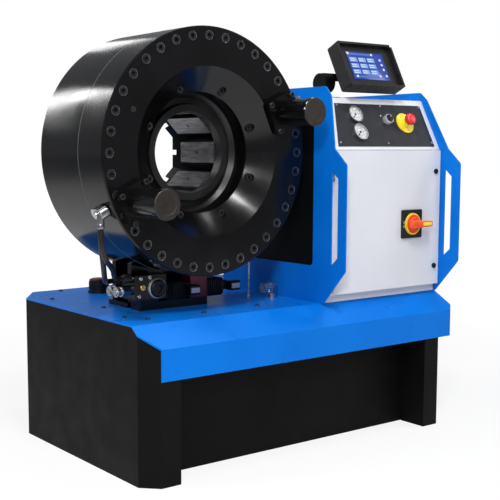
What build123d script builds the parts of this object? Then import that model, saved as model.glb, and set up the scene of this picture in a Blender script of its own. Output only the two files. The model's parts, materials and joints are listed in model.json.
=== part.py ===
"""Hydraulic hose crimping machine: crimping head on a pedestal, with a control cabinet beside it.

Millimetres, +Z up, +X to the right along the front, +Y into the machine.
The origin lies on the floor, in the middle of the pedestal.
"""

from build123d import *
import math
import os

os.makedirs("parts", exist_ok=True)

# ---------------------------------------------------------------- driving sizes
sheet = 4.0                 # folded sheet of the pedestal and its cover
fit_gap = 0.3               # between parts that move past each other
slide_gap = 0.1             # radial running fit of rods and pins
thread_engagement = 26.0    # how far a cap screw goes into the part behind

# pedestal
base_width = 1300.0
base_depth = 900.0
corner_cut = 50.0           # front corners, cut off at 45 degrees
rear_cut_x = 90.0           # rear corners, along X and along Y
rear_cut_y = 130.0
leg_width = 120.0           # front face of a leg, measured from the side of the pedestal
recess_depth = 108.0        # how far the front and rear panels stand back between the legs
floor_plate_thickness = 6.0

# tray cover that closes the pedestal
tray_top = 480.0
apron_bottom = 320.0
slope_bottom = 416.0        # where the slope meets the upright apron
slope_run = 80.0
tray_overhang = 35.0        # past the right-hand side of the pedestal
side_slope_run = 25.0
corner_facet_x = 27.0
corner_facet_y = 24.0
tray_bend_radius = 10.0

# crimping head, with its axis along Y
head_x = -328.0
head_lift = 118.0           # clear height between the tray and the head
face_y = -320.0             # front face of the head
head_wall = 51.0            # steel around the piston's bore
head_length = 395.0
flange_thickness = 140.0
retainer_thickness = 12.0
retainer_overlap = 42.0     # of the rear ring past the bore it closes
retainer_screw_inset = 26.0
retainer_screw_count = 12
retainer_screw_radius = 7.0
lifting_thread_radius = 10.0
lifting_thread_depth = 30.0
funnel_radius = 265.0
funnel_depth = 60.0
mouth_radius = 190.0
edge_chamfer = 4.0

flange_screw_count = 36
flange_screw_inset = 23.0   # of the screws' circle outside the piston's bore
flange_screw_shank = 10.0
flange_screw_head = 15.0
flange_screw_head_height = 20.0
screw_recess_gap = 1.2      # between a cap screw's head and its counterbore
hex_size_ratio = 0.5        # hexagon socket's circle over the head's radius

# dies and the piston that drives them
die_count = 8
die_open_radius = 124.0     # from the axis to a die's face when the head is open
die_travel = 40.0
die_face_width = 68.6
die_length = 190.0
die_rear_height = 30.3      # radial height of a die at its rear end
wedge_angle = 30.0          # slope of the die backs against the axis
die_pin_radius = 5.0
die_pin_depth = 25.0
rib_neck = 16.0
rib_neck_height = 6.0
rib_head = 28.0
rib_head_height = 8.0
rib_gap = 0.4
key_width = 20.0
key_height = 7.0
key_length = 20.0
key_radius = 206.0          # middle of a die's guide key when the head is open

piston_radius = 334.8
piston_bore_gap = 0.2
piston_step = 45.0          # from the piston's own radius to that of its sleeve
piston_edge = 3.0
piston_front = 214.0        # depths below are measured from the head's front face
piston_shoulder = 298.0
piston_rear = 390.0
seal_depth = 12.0
seal_width = 14.0
seal_setback = 30.0

# ring that guides the dies
guide_outer = 225.8
guide_inner = 130.0
guide_lip = 152.0
guide_front = 112.0
guide_seat = 118.0
guide_rear = 148.0
guide_relief = 4.0          # rear edge, cut back to clear the piston
guide_valley = 132.0
guide_screw_circle = 208.0
guide_screw_shank = 8.0
guide_screw_head = 12.0
guide_screw_head_height = 16.0
guide_screw_seat = 62.0

# return cylinders on the head's face
return_inset = 24.8         # of the cylinders' circle inside the piston's radius
return_angles = (24.0, 208.0)
return_flange_side = 116.0
return_flange_thickness = 25.0
return_flange_corner = 18.0
return_barrel_radius = 42.0
return_barrel_length = 170.0
return_end_radius = 45.0
return_end_length = 22.0
return_bore_radius = 32.0
return_bore_depth = 156.0
return_rod_radius = 14.0
return_piston_length = 30.0
return_piston_front = 48.0

# saddle under the head
stand_half_width = 150.0
stand_front = 250.0
stand_length = 120.0
stand_plate = 16.0
stand_lip = 15.0            # of the foot plate past the saddle on each side
saddle_plate = 22.0
saddle_height = 174.0       # above the tray, up to the flank of the head

# cable gland in the rear panel
gland_x = 450.0
gland_z = 150.0
gland_bore_radius = 8.0

# valve group on the tray, in front of the saddle
manifold_x = (-507.0, -385.0)
manifold_y = (-162.0, -86.0)
manifold_lift = 36.0
manifold_top = 115.0        # above the tray
manifold_foot = 70.0
valve_x = (-285.0, -217.0)
valve_top = 114.0           # above the tray
valve_depth = 58.0
valve_lift = 25.0
solenoid_radius = 27.0
solenoid_length = 98.0
solenoid_cap = 0.3          # share of the length taken by the round cap
nut_radius = 15.0

# hoses
hose_radius = 8.5
banjo_y = (-280.0, -259.0)
banjo_x = (-697.0, -685.0)
banjo_z = 806.0
hose_top = 776.0

# control cabinet
plate_thickness = 5.0
cabinet_gap = 37.0          # between the head and the outer face of the left plate
cabinet_width = 560.0
cabinet_rear = 170.0
cabinet_top = 1200.0
nose_y = -487.0             # front of the handle on each plate
nose_low = 597.0
nose_high = 944.0
plate_foot_y = -384.0
waist_y = -430.0
waist_z = 996.0
slot_front_y = -449.0
slot_rear_y = -419.0
slot_low = 611.0
slot_high = 924.0
slot_slant = 26.0
cover_thickness = 3.0
cover_foot_y = -390.0
cover_foot_z = 995.0
cover_top = 1170.0
panel_angle = 28.0          # control panel, leaning back from upright
panel_thickness = 3.0
vent_y = (-330.0, 130.0)
vent_z = (603.0, 1120.0)
vent_corner = 16.0
vent_overlap = 12.0
vent_sheet = 2.0
frame_setback = 18.0        # depth of the door frame behind the foot of the cover
frame_width = 18.0
frame_sill = 510.0

# door
door_front = -400.0
door_thickness = 22.0
door_skin = 2.0
door_gap = 4.0
door_low = 508.0
door_high = 991.0
hinge_radius = 7.0
hinge_pin_radius = 3.5
hinge_knuckle = 28.0
hinge_z = (560.0, 930.0)
latch_across = 526.0        # from the cabinet's left side
latch_z = (575.0, 916.0)
latch_radius = 9.0
cam_length = 30.0
cam_width = 12.0
cam_overhang = 7.0          # past the latch's axis, on the short side

# instruments, placed across from the cabinet's left side and up the slope of the panel
panel_corners = ((60.0, 10.0), (110.0, 175.0), (531.0, 175.0), (531.0, 10.0))
gauge_radius = 31.0
gauge_body_radius = 28.0
gauge_positions = ((185.0, 131.0), (179.0, 62.0))
gauge_depth = 30.0
gauge_rim = 9.0
selector_position = (332.0, 111.0)
selector_radius = 14.5
stop_position = (418.0, 101.0)
stop_collar_radius = 39.0
stop_collar_thickness = 4.0
stop_neck_radius = 14.0
stop_neck_top = 17.0
stop_head_radius = 21.0
stop_head_low = 22.0
stop_head_height = 22.0
stop_stem_radius = 9.0
panel_hole_radius = 12.0
switch_across = 402.0
switch_z = 732.0
switch_side = 100.0
switch_ring_radius = 38.0

# display
display_across = 156.0      # from the cabinet's left side
display_width = 267.0
display_foot_y = -330.0
display_foot_z = 1206.0
display_angle = 27.0
display_height = 172.0
display_depth = 42.0
visor_height = 16.0
visor_wall = 8.0
screen_width = 175.0
screen_height = 108.0
screen_across = -4.0        # of the screen's middle from the housing's middle
display_pivot_across = 245.0
display_pivot_back = 28.0
display_pivot_up = 84.0
display_post_across = 190.0
display_post_y = -170.0

# ---------------------------------------------------------------- worked-out places
left_x = -base_width / 2
right_x = base_width / 2
front_y = -base_depth / 2
rear_y = base_depth / 2
tray_right = right_x + tray_overhang
apron_y = front_y - sheet
wedge = math.radians(wedge_angle)
piston_stroke = die_travel / math.tan(wedge)
die_front = guide_rear + 0.5
die_rear = die_front + die_length
die_back_rear = die_open_radius + die_rear_height
housing_bore = piston_radius + piston_bore_gap
head_radius = housing_bore + head_wall
head_z = tray_top + head_lift + head_radius
sleeve_radius = piston_radius - piston_step
housing_rear_bore = sleeve_radius + piston_bore_gap
flange_screw_circle = housing_bore + flange_screw_inset
retainer_radius = housing_rear_bore + retainer_overlap
retainer_screw_circle = housing_rear_bore + retainer_screw_inset
return_circle = piston_radius - return_inset
head_origin = (head_x, face_y, head_z)
head_axis = Axis(head_origin, (0, 1, 0))
half_plane = Plane(head_origin)                              # x is the radius, y the depth
head_plane = Plane(head_origin, x_dir=(1, 0, 0), z_dir=(0, -1, 0))
housing_step = piston_shoulder + 2.0
housing_rear = head_length - retainer_thickness
cabinet_left = head_x + head_radius + cabinet_gap            # outer face of the left plate
cabinet_right = cabinet_left + cabinet_width                 # outer face of the right plate
switch_x = cabinet_left + switch_across
latch_x = cabinet_left + latch_across
display_left = cabinet_left + display_across
display_middle = display_left + display_width / 2
display_pivot_x = cabinet_left + display_pivot_across
display_post_x = cabinet_left + display_post_across


def save(piece, name):
    """Labels a finished piece and writes it as its own node."""
    piece.part.label = name
    export_step(piece.part, f"parts/{name}.step")


def depth_plane(depth):
    """Plane across the head's axis, facing the front, at this depth behind the face."""
    return head_plane.offset(-depth)


def back_radius(depth):
    """Radius of the sloping die backs at this depth, with the head open."""
    return die_back_rear + (die_rear - depth) * math.tan(wedge)


# ---------------------------------------------------------------- pedestal
slope_angle = math.atan2(tray_top - slope_bottom, slope_run)
slope_drop = sheet / math.cos(slope_angle)


def side_casing(side):
    """Folded sheet with one front leg, the side wall and one rear leg; side is -1 or 1."""
    edge = side * base_width / 2
    inner = edge - side * leg_width
    with BuildPart() as casing:
        with BuildSketch():
            with BuildLine():
                Polyline(
                    (inner, front_y + recess_depth),
                    (inner, front_y),
                    (edge - side * corner_cut, front_y),
                    (edge, front_y + corner_cut),
                    (edge, rear_y - rear_cut_y),
                    (edge - side * rear_cut_x, rear_y),
                    (inner, rear_y),
                    (inner, rear_y - recess_depth),
                )
                inward = Side.RIGHT if side < 0 else Side.LEFT
                offset(amount=sheet, kind=Kind.INTERSECTION, side=inward)
            make_face()
        extrude(amount=tray_top - sheet)
        # the front corner follows the underside of the tray cover's slope
        with BuildSketch(Plane.YZ.offset(edge - side * leg_width / 2)):
            with BuildLine():
                Polyline(
                    (front_y - sheet, slope_bottom - slope_drop),
                    (front_y, slope_bottom - slope_drop),
                    (front_y + slope_run, tray_top - slope_drop),
                    (front_y + slope_run, tray_top + sheet),
                    (front_y - sheet, tray_top + sheet),
                    close=True,
                )
            make_face()
        extrude(amount=leg_width, both=True, mode=Mode.SUBTRACT)
    return casing


base_left_side = side_casing(-1)
save(base_left_side, "base_left_side")
base_right_side = side_casing(1)
save(base_right_side, "base_right_side")

panel_width = base_width - 2 * leg_width
louvre_x = 330.0
louvre_z = 300.0
louvre_spacing = 18.0
louvre_count = 6
louvre_length = 180.0
louvre_width = 7.0

with BuildPart() as base_front_panel:
    with BuildSketch(Plane.XZ.offset(-(front_y + recess_depth))):
        with Locations((0, (slope_bottom + floor_plate_thickness) / 2)):
            Rectangle(panel_width, slope_bottom - floor_plate_thickness)
    extrude(amount=-sheet)
save(base_front_panel, "base_front_panel")

with BuildPart() as base_rear_panel:
    with BuildSketch(Plane.XZ.offset(-(rear_y - recess_depth))):
        with Locations((0, (tray_top - sheet + floor_plate_thickness) / 2)):
            Rectangle(panel_width, tray_top - sheet - floor_plate_thickness)
    extrude(amount=sheet)
    # louvres that let the motor's warm air out
    with BuildSketch(Plane.XZ.offset(-(rear_y - recess_depth))):
        with Locations((louvre_x, louvre_z)):
            with GridLocations(0, louvre_spacing, 1, louvre_count):
                SlotOverall(louvre_length, louvre_width)
        with Locations((gland_x, gland_z)):
            Circle(gland_bore_radius)
    extrude(amount=sheet, mode=Mode.SUBTRACT)
save(base_rear_panel, "base_rear_panel")

with BuildPart() as base_floor_plate:
    with BuildSketch():
        with BuildLine():
            Polyline(
                (left_x + sheet, front_y + corner_cut + sheet),
                (left_x + corner_cut + sheet, front_y + sheet),
                (left_x + leg_width - sheet, front_y + sheet),
                (left_x + leg_width - sheet, front_y + recess_depth + sheet),
                (right_x - leg_width + sheet, front_y + recess_depth + sheet),
                (right_x - leg_width + sheet, front_y + sheet),
                (right_x - corner_cut - sheet, front_y + sheet),
                (right_x - sheet, front_y + corner_cut + sheet),
                (right_x - sheet, rear_y - rear_cut_y - sheet),
                (right_x - rear_cut_x - sheet, rear_y - sheet),
                (right_x - leg_width + sheet, rear_y - sheet),
                (right_x - leg_width + sheet, rear_y - recess_depth - sheet),
                (left_x + leg_width - sheet, rear_y - recess_depth - sheet),
                (left_x + leg_width - sheet, rear_y - sheet),
                (left_x + rear_cut_x + sheet, rear_y - sheet),
                (left_x + sheet, rear_y - rear_cut_y - sheet),
                close=True,
            )
        make_face()
    extrude(amount=floor_plate_thickness)
save(base_floor_plate, "base_floor_plate")

# ---------------------------------------------------------------- frame and power unit inside
post_side = 60.0
post_x = (head_x - 130, head_x + 130)
post_y = (face_y + stand_front + 30, face_y + stand_front + stand_length - 30)
post_top = tray_top - sheet

with BuildPart() as support_frame:
    for x in post_x:
        with BuildSketch(Plane.XY.offset(floor_plate_thickness)):
            for y in post_y:
                with Locations((x, y)):
                    Rectangle(post_side, post_side)
        extrude(amount=post_top - floor_plate_thickness)
    # cross beams right under the cover, tied together along Y
    with BuildSketch(Plane.XY.offset(post_top - post_side)):
        for y in post_y:
            with Locations((head_x, y)):
                Rectangle(post_x[1] - post_x[0] + post_side, post_side)
        for x in post_x:
            with Locations((x, sum(post_y) / 2)):
                Rectangle(post_side, post_y[1] - post_y[0])
    extrude(amount=post_side)
save(support_frame, "support_frame")

tank_x = (left_x + 60, -120.0)
tank_rear_gap = 116.0       # behind the tank, to the pedestal's rear
tank_y = (60.0, rear_y - tank_rear_gap)
tank_top = 400.0
tank_corner = 20.0
breather_x = -371.0
breather_rear_gap = 150.0   # from the filler's middle to the pedestal's rear
breather_y = rear_y - breather_rear_gap
neck_radius = 24.0

with BuildPart() as oil_tank:
    with BuildSketch(Plane.XY.offset(floor_plate_thickness)):
        with Locations(((tank_x[0] + tank_x[1]) / 2, (tank_y[0] + tank_y[1]) / 2)):
            RectangleRounded(tank_x[1] - tank_x[0], tank_y[1] - tank_y[0], tank_corner)
    extrude(amount=tank_top - floor_plate_thickness)
    with BuildSketch(Plane.XY.offset(floor_plate_thickness + sheet)):
        with Locations(((tank_x[0] + tank_x[1]) / 2, (tank_y[0] + tank_y[1]) / 2)):
            RectangleRounded(
                tank_x[1] - tank_x[0] - 2 * sheet,
                tank_y[1] - tank_y[0] - 2 * sheet,
                tank_corner - sheet,
            )
    extrude(amount=tank_top - floor_plate_thickness - 2 * sheet, mode=Mode.SUBTRACT)
    # filler neck, up to the underside of the cover
    with BuildSketch(Plane.XY.offset(tank_top)):
        with Locations((breather_x, breather_y)):
            Circle(neck_radius + sheet)
    extrude(amount=post_top - tank_top)
    with Locations((breather_x, breather_y, post_top)):
        Hole(neck_radius, depth=post_top - tank_top + 2 * sheet)
save(oil_tank, "oil_tank")

motor_x = 60.0
motor_z = 190.0
motor_y = -90.0
motor_radius = 95.0
motor_length = 290.0
motor_foot = 150.0
motor_axis_plane = Plane(origin=(motor_x, motor_y, motor_z), x_dir=(0, 1, 0), z_dir=(1, 0, 0))

with BuildPart() as pump_motor:
    with BuildSketch(motor_axis_plane):
        Circle(motor_radius)
        # cooling ribs around the frame of the motor
        with PolarLocations(motor_radius, 12, start_angle=-75):
            Rectangle(24, 5)
    extrude(amount=motor_length)
    with BuildSketch(motor_axis_plane.offset(motor_length)):
        Circle(motor_radius - 6)
    extrude(amount=45)
    with BuildSketch(Plane.XY.offset(floor_plate_thickness)):
        with Locations((motor_x + motor_length / 2, motor_y)):
            Rectangle(motor_foot, motor_foot)
    extrude(until=Until.NEXT)
    with BuildSketch(Plane.XY.offset(motor_z)):
        with Locations((motor_x + motor_length / 2, motor_y + 60)):
            Rectangle(90, 90)
    extrude(amount=motor_radius + 25)
save(pump_motor, "pump_motor")

bell_length = 90.0
pump_length = 110.0

with BuildPart() as hydraulic_pump:
    # bell housing, then the gear pump itself with its two ports
    with BuildSketch(motor_axis_plane):
        Circle(motor_radius - 8)
    extrude(amount=-12)
    with BuildSketch(motor_axis_plane.offset(-12)):
        Circle(58)
    extrude(amount=-(bell_length - 12))
    with BuildSketch(motor_axis_plane.offset(-bell_length)):
        RectangleRounded(86, 104, 12)
    extrude(amount=-pump_length)
    with BuildSketch(Plane.XY.offset(motor_z)):
        with Locations((motor_x - bell_length - pump_length / 2, motor_y)):
            Circle(16)
    extrude(amount=52 + 26)
save(hydraulic_pump, "hydraulic_pump")


# ---------------------------------------------------------------- tray cover
def tray_block(skin, past):
    """Solid form of the cover; skin shrinks its walled sides, past runs it out of the open ones."""
    drop = skin / math.cos(slope_angle) if skin else 0.0
    right = tray_right - skin
    facet = corner_facet_x - 0.4 * skin
    with BuildPart() as block:
        with BuildSketch(Plane.YZ.offset(left_x - past)):
            with BuildLine():
                Polyline(
                    (apron_y + skin, apron_bottom - past),
                    (apron_y + skin, slope_bottom - drop / 2),
                    (front_y + slope_run, tray_top - skin),
                    (rear_y + past, tray_top - skin),
                    (rear_y + past, apron_bottom - past),
                    close=True,
                )
            make_face()
        extrude(amount=right - left_x + past)
        with BuildSketch(Plane.XZ.offset(-(rear_y + past))):
            with BuildLine():
                Polyline(
                    (left_x - past, apron_bottom - past),
                    (left_x - past, tray_top),
                    (right - side_slope_run, tray_top),
                    (right, slope_bottom),
                    (right, apron_bottom - past),
                    close=True,
                )
            make_face()
        extrude(amount=rear_y - apron_y + 2 * past, mode=Mode.INTERSECT)
        with BuildSketch(Plane.XY.offset(apron_bottom - past)):
            with BuildLine():
                Polyline(
                    (left_x - past, rear_y + past),
                    (left_x - past, apron_y + skin),
                    (right - facet, apron_y + skin),
                    (right, apron_y + skin + corner_facet_y),
                    (right, rear_y + past),
                    close=True,
                )
            make_face()
        extrude(amount=tray_top, mode=Mode.INTERSECT)
    return block


with BuildPart() as tray_cover:
    add(tray_block(0.0, 0.0).part)
    add(tray_block(sheet, 20.0).part, mode=Mode.SUBTRACT)
    # left front corner stops where the leg is cut off, and both rear corners follow the pedestal
    with BuildSketch():
        with BuildLine():
            Polyline(
                (left_x - 1, apron_y - 1),
                (left_x + corner_cut, apron_y - 1),
                (left_x + corner_cut, front_y),
                (left_x, front_y + corner_cut),
                (left_x - 1, front_y + corner_cut),
                close=True,
            )
        make_face()
        with BuildLine():
            Polyline(
                (left_x, rear_y - rear_cut_y),
                (left_x, rear_y),
                (left_x + rear_cut_x, rear_y),
                close=True,
            )
        make_face()
        with BuildLine():
            Polyline(
                (tray_right, rear_y - rear_cut_y),
                (tray_right, rear_y),
                (tray_right - rear_cut_x, rear_y),
                close=True,
            )
        make_face()
    extrude(amount=tray_top + 1, mode=Mode.SUBTRACT)
    with Locations((breather_x, breather_y, tray_top)):
        Hole(neck_radius + 2)
save(tray_cover, "tray_cover")

breather_radius = 35.0
breather_height = 50.0
breather_rim = 8.0          # height of the flange under the cap

with BuildPart() as filler_breather:
    with BuildSketch(Plane.XY.offset(tray_top)):
        with Locations((breather_x, breather_y)):
            Circle(breather_radius + 5)
    extrude(amount=breather_rim)
    with BuildSketch(Plane.XY.offset(tray_top + breather_rim)):
        with Locations((breather_x, breather_y)):
            Circle(breather_radius)
    extrude(amount=breather_height - breather_rim)
    fillet(filler_breather.faces().sort_by(Axis.Z)[-1].edges(), 6)
    with BuildSketch(Plane.XY.offset(tray_top)):
        with Locations((breather_x, breather_y)):
            Circle(neck_radius - 1)
    extrude(amount=-40)
save(filler_breather, "filler_breather")

# ---------------------------------------------------------------- saddle under the head
with BuildPart() as head_stand:
    with BuildSketch(Plane.XY.offset(tray_top)):
        with Locations((head_x, face_y + stand_front + stand_length / 2)):
            Rectangle(2 * stand_half_width, stand_length)
    extrude(amount=stand_plate)
    with BuildSketch(Plane.XZ.offset(-(face_y + stand_front))) as saddle:
        with Locations((head_x, (tray_top + head_z) / 2)):
            Rectangle(2 * (stand_half_width - stand_lip), head_z - tray_top)
        with Locations((head_x, head_z)):
            Circle(head_radius, mode=Mode.SUBTRACT)
        with Locations((head_x, head_z)):
            Rectangle(4 * head_radius, 2 * (head_z - tray_top - saddle_height), mode=Mode.SUBTRACT)
    extrude(saddle.sketch, amount=-saddle_plate)
    with BuildSketch(Plane.XZ.offset(-(face_y + stand_front + stand_length - saddle_plate))):
        add(saddle.sketch.moved(Location((0, stand_length - saddle_plate, 0))))
    extrude(amount=-saddle_plate)
save(head_stand, "head_stand")

# ---------------------------------------------------------------- crimping head
with BuildPart() as front_flange:
    with BuildSketch(half_plane):
        with BuildLine():
            Polyline(
                (funnel_radius, 0),
                (head_radius - edge_chamfer, 0),
                (head_radius, edge_chamfer),
                (head_radius, flange_thickness),
                (guide_outer + 0.2, flange_thickness),
                (guide_outer + 0.2, guide_seat),
                (mouth_radius, guide_seat),
                (mouth_radius, funnel_depth),
                close=True,
            )
        make_face()
    revolve(axis=head_axis)
    with Locations(head_plane):
        with PolarLocations(flange_screw_circle, flange_screw_count, start_angle=90):
            CounterBoreHole(
                flange_screw_shank + 0.5,
                flange_screw_head + screw_recess_gap,
                flange_screw_head_height,
                depth=flange_thickness,
            )
        with PolarLocations(guide_screw_circle, die_count, start_angle=22.5):
            CounterBoreHole(
                guide_screw_shank + 0.5,
                guide_screw_head + screw_recess_gap,
                guide_screw_seat,
                depth=guide_seat,
            )
        for angle in return_angles:
            with PolarLocations(return_circle, 1, start_angle=angle):
                Hole(return_rod_radius + slide_gap, depth=flange_thickness)
save(front_flange, "front_flange")

with BuildPart() as flange_screws:
    with BuildSketch(depth_plane(flange_screw_head_height)):
        with PolarLocations(flange_screw_circle, flange_screw_count, start_angle=90):
            Circle(flange_screw_head)
    extrude(amount=flange_screw_head_height - 2)
    with BuildSketch(depth_plane(2)):
        with PolarLocations(flange_screw_circle, flange_screw_count, start_angle=90):
            RegularPolygon(flange_screw_head * hex_size_ratio, 6)
    extrude(amount=-flange_screw_head_height / 2, mode=Mode.SUBTRACT)
    with BuildSketch(depth_plane(flange_screw_head_height)):
        with PolarLocations(flange_screw_circle, flange_screw_count, start_angle=90):
            Circle(flange_screw_shank)
    extrude(amount=-(flange_thickness - flange_screw_head_height + thread_engagement))
save(flange_screws, "flange_screws")

with BuildPart() as rear_housing:
    with BuildSketch(half_plane):
        with BuildLine():
            Polyline(
                (housing_bore, flange_thickness),
                (head_radius, flange_thickness),
                (head_radius, housing_rear - edge_chamfer),
                (head_radius - edge_chamfer, housing_rear),
                (housing_rear_bore, housing_rear),
                (housing_rear_bore, housing_step),
                (housing_bore, housing_step),
                close=True,
            )
        make_face()
    revolve(axis=head_axis)
    with BuildSketch(depth_plane(flange_thickness)):
        with PolarLocations(flange_screw_circle, flange_screw_count, start_angle=90):
            Circle(flange_screw_shank)
    extrude(amount=-(thread_engagement + 6), mode=Mode.SUBTRACT)
    # lifting thread on top
    lifting_y = face_y + (flange_thickness + housing_rear) / 2
    with Locations((head_x, lifting_y, head_z + head_radius)):
        Hole(lifting_thread_radius, depth=lifting_thread_depth)
save(rear_housing, "rear_housing")

with BuildPart() as rear_retainer:
    with BuildSketch(depth_plane(head_length)):
        Circle(retainer_radius)
        Circle(housing_rear_bore + 0.3, mode=Mode.SUBTRACT)
        with PolarLocations(retainer_screw_circle, retainer_screw_count):
            Circle(retainer_screw_radius, mode=Mode.SUBTRACT)
    extrude(amount=retainer_thickness)
save(rear_retainer, "rear_retainer")

with BuildPart() as die_guide_ring:
    with BuildSketch(half_plane):
        with BuildLine():
            Polyline(
                (guide_inner, guide_front),
                (guide_lip, guide_front),
                (guide_lip + 4, guide_valley),
                (mouth_radius - 16, guide_valley),
                (mouth_radius - 2, guide_seat),
                (guide_outer, guide_seat),
                (guide_outer, guide_rear - guide_relief),
                (guide_outer - guide_relief, guide_rear),
                (guide_inner, guide_rear),
                close=True,
            )
        make_face()
    revolve(axis=head_axis)
    # radial slots for the guide keys of the dies
    with BuildSketch(depth_plane(guide_rear)):
        with PolarLocations(key_radius - die_travel / 2, die_count):
            Rectangle(key_length + die_travel + 4, key_width + 2 * fit_gap)
    extrude(amount=key_height + fit_gap, mode=Mode.SUBTRACT)
    with BuildSketch(depth_plane(guide_seat)):
        with PolarLocations(guide_screw_circle, die_count, start_angle=22.5):
            Circle(guide_screw_shank)
    extrude(amount=-(guide_rear - guide_seat), mode=Mode.SUBTRACT)
save(die_guide_ring, "die_guide_ring")

with BuildPart() as guide_ring_screws:
    with BuildSketch(depth_plane(guide_screw_seat)):
        with PolarLocations(guide_screw_circle, die_count, start_angle=22.5):
            Circle(guide_screw_head)
    extrude(amount=guide_screw_head_height)
    with BuildSketch(depth_plane(guide_screw_seat - guide_screw_head_height)):
        with PolarLocations(guide_screw_circle, die_count, start_angle=22.5):
            RegularPolygon(guide_screw_head * hex_size_ratio, 6)
    extrude(amount=-guide_screw_head_height / 2, mode=Mode.SUBTRACT)
    with BuildSketch(depth_plane(guide_screw_seat)):
        with PolarLocations(guide_screw_circle, die_count, start_angle=22.5):
            Circle(guide_screw_shank)
    extrude(amount=-(guide_rear - 4 - guide_screw_seat))
save(guide_ring_screws, "guide_ring_screws")


# ---------------------------------------------------------------- dies and piston
def rib_plane(depth):
    """Plane across the sloping back of the first die, its y axis pointing out of the die."""
    return Plane(
        origin=(head_x + back_radius(depth), face_y + depth, head_z),
        x_dir=(0, 0, 1),
        z_dir=(-math.sin(wedge), math.cos(wedge), 0),
    )


def rib_profile(gap):
    """T-shaped rib on a die's back, or with a gap the groove in the piston that holds it."""
    with BuildSketch() as rib:
        with Locations((0, rib_neck_height / 2 - 1)):
            Rectangle(rib_neck + 2 * gap, rib_neck_height + 2)
        with Locations((0, rib_neck_height + rib_head_height / 2)):
            Rectangle(rib_head + 2 * gap, rib_head_height + 2 * gap)
    return rib.sketch


def flat_radius(depth):
    """Radius of the piston's flat bearing faces, a running gap outside the backs of the dies."""
    return back_radius(depth) + fit_gap / math.cos(wedge)


apex = die_open_radius - die_face_width / 2 / math.tan(math.pi / die_count)
outer_reach = back_radius(die_front) + rib_neck_height + rib_head_height + 20

with BuildPart() as master_die:
    # wedge-shaped section, as deep as the die is long
    with BuildSketch(depth_plane(die_front)):
        with BuildLine():
            Polyline(
                (die_open_radius, -die_face_width / 2),
                (outer_reach, -(outer_reach - apex) * math.tan(math.pi / die_count)),
                (outer_reach, (outer_reach - apex) * math.tan(math.pi / die_count)),
                (die_open_radius, die_face_width / 2),
                close=True,
            )
        make_face()
    extrude(amount=-die_length)
    # sloping back
    with BuildSketch(half_plane):
        with BuildLine():
            Polyline(
                (back_radius(die_front - 10), die_front - 10),
                (outer_reach + 40, die_front - 10),
                (outer_reach + 40, die_rear + 10),
                (back_radius(die_rear + 10), die_rear + 10),
                close=True,
            )
        make_face()
    extrude(amount=outer_reach, both=True, mode=Mode.SUBTRACT)
    # rib that draws the die back out with the piston
    extrude(rib_plane(die_front - 40) * rib_profile(0.0), amount=(die_length + 80) / math.cos(wedge))
    with BuildSketch(depth_plane(die_front)):
        with Locations((outer_reach / 2 + 60, 0)):
            Rectangle(2 * outer_reach, 2 * outer_reach)
    extrude(amount=-die_length, mode=Mode.INTERSECT)
    # guide key on the front, and the hole that holds a die insert's pin
    with BuildSketch(depth_plane(die_front)):
        with Locations((key_radius, 0)):
            Rectangle(key_length, key_width)
    extrude(amount=key_height)
    with Locations(Plane(origin=(head_x + die_open_radius, face_y + die_front + die_length / 2, head_z),
                         x_dir=(0, 1, 0), z_dir=(-1, 0, 0))):
        Hole(die_pin_radius, depth=die_pin_depth)

for number in range(die_count):
    turned = master_die.part.rotate(head_axis, -360 / die_count * number)
    turned.label = f"master_die_{number + 1}"
    export_step(turned, f"parts/master_die_{number + 1}.step")

with BuildPart() as groove_cutter:
    groove_length = (piston_rear - piston_front + 140) / math.cos(wedge)
    extrude(rib_plane(piston_front - 60) * rib_profile(rib_gap), amount=groove_length)

with BuildPart() as piston:
    with BuildSketch(half_plane):
        with BuildLine():
            Polyline(
                (60, piston_front),
                (piston_radius - piston_edge, piston_front),
                (piston_radius, piston_front + piston_edge),
                (piston_radius, piston_shoulder),
                (sleeve_radius, piston_shoulder),
                (sleeve_radius, piston_rear - piston_edge),
                (sleeve_radius - piston_edge, piston_rear),
                (60, piston_rear),
                close=True,
            )
        make_face()
    revolve(axis=head_axis)
    # eight flat faces that bear on the backs of the dies
    with BuildSketch(depth_plane(piston_front - 1)):
        RegularPolygon(flat_radius(piston_front - 1), die_count, major_radius=False, rotation=180 / die_count)
    with BuildSketch(depth_plane(piston_rear + 1)):
        RegularPolygon(flat_radius(piston_rear + 1), die_count, major_radius=False, rotation=180 / die_count)
    loft(mode=Mode.SUBTRACT)
    for number in range(die_count):
        add(groove_cutter.part.rotate(head_axis, 360 / die_count * number), mode=Mode.SUBTRACT)
    # groove for the piston seal
    with BuildSketch(half_plane):
        with Locations((piston_radius - seal_depth / 2 + 1, piston_front + seal_setback + seal_width / 2)):
            Rectangle(seal_depth + 2, seal_width)
    revolve(axis=head_axis, mode=Mode.SUBTRACT)
save(piston, "piston")

with BuildPart() as piston_seal:
    with BuildSketch(half_plane):
        with Locations((piston_radius - seal_depth / 2, piston_front + seal_setback + seal_width / 2)):
            Rectangle(seal_depth, seal_width)
    revolve(axis=head_axis)
save(piston_seal, "piston_seal")

# ---------------------------------------------------------------- return cylinders
with BuildPart() as return_cylinders:
    for angle in return_angles:
        with Locations(head_plane):
            with PolarLocations(return_circle, 1, start_angle=angle) as spot:
                places = spot.locations
        for place in places:
            with BuildSketch(Plane(place)):
                RectangleRounded(return_flange_side, return_flange_side, return_flange_corner)
            extrude(amount=return_flange_thickness)
            with BuildSketch(Plane(place)):
                Circle(return_barrel_radius)
            extrude(amount=return_barrel_length)
            with BuildSketch(Plane(place).offset(return_barrel_length - return_end_length)):
                Circle(return_end_radius)
            extrude(amount=return_end_length)
            with BuildSketch(Plane(place)):
                Circle(return_bore_radius)
            extrude(amount=return_bore_depth, mode=Mode.SUBTRACT)
    edges = return_cylinders.faces().filter_by(Axis.Y).group_by(Axis.Y)[0].edges()
    chamfer(edges, 3)
save(return_cylinders, "return_cylinders")

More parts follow.
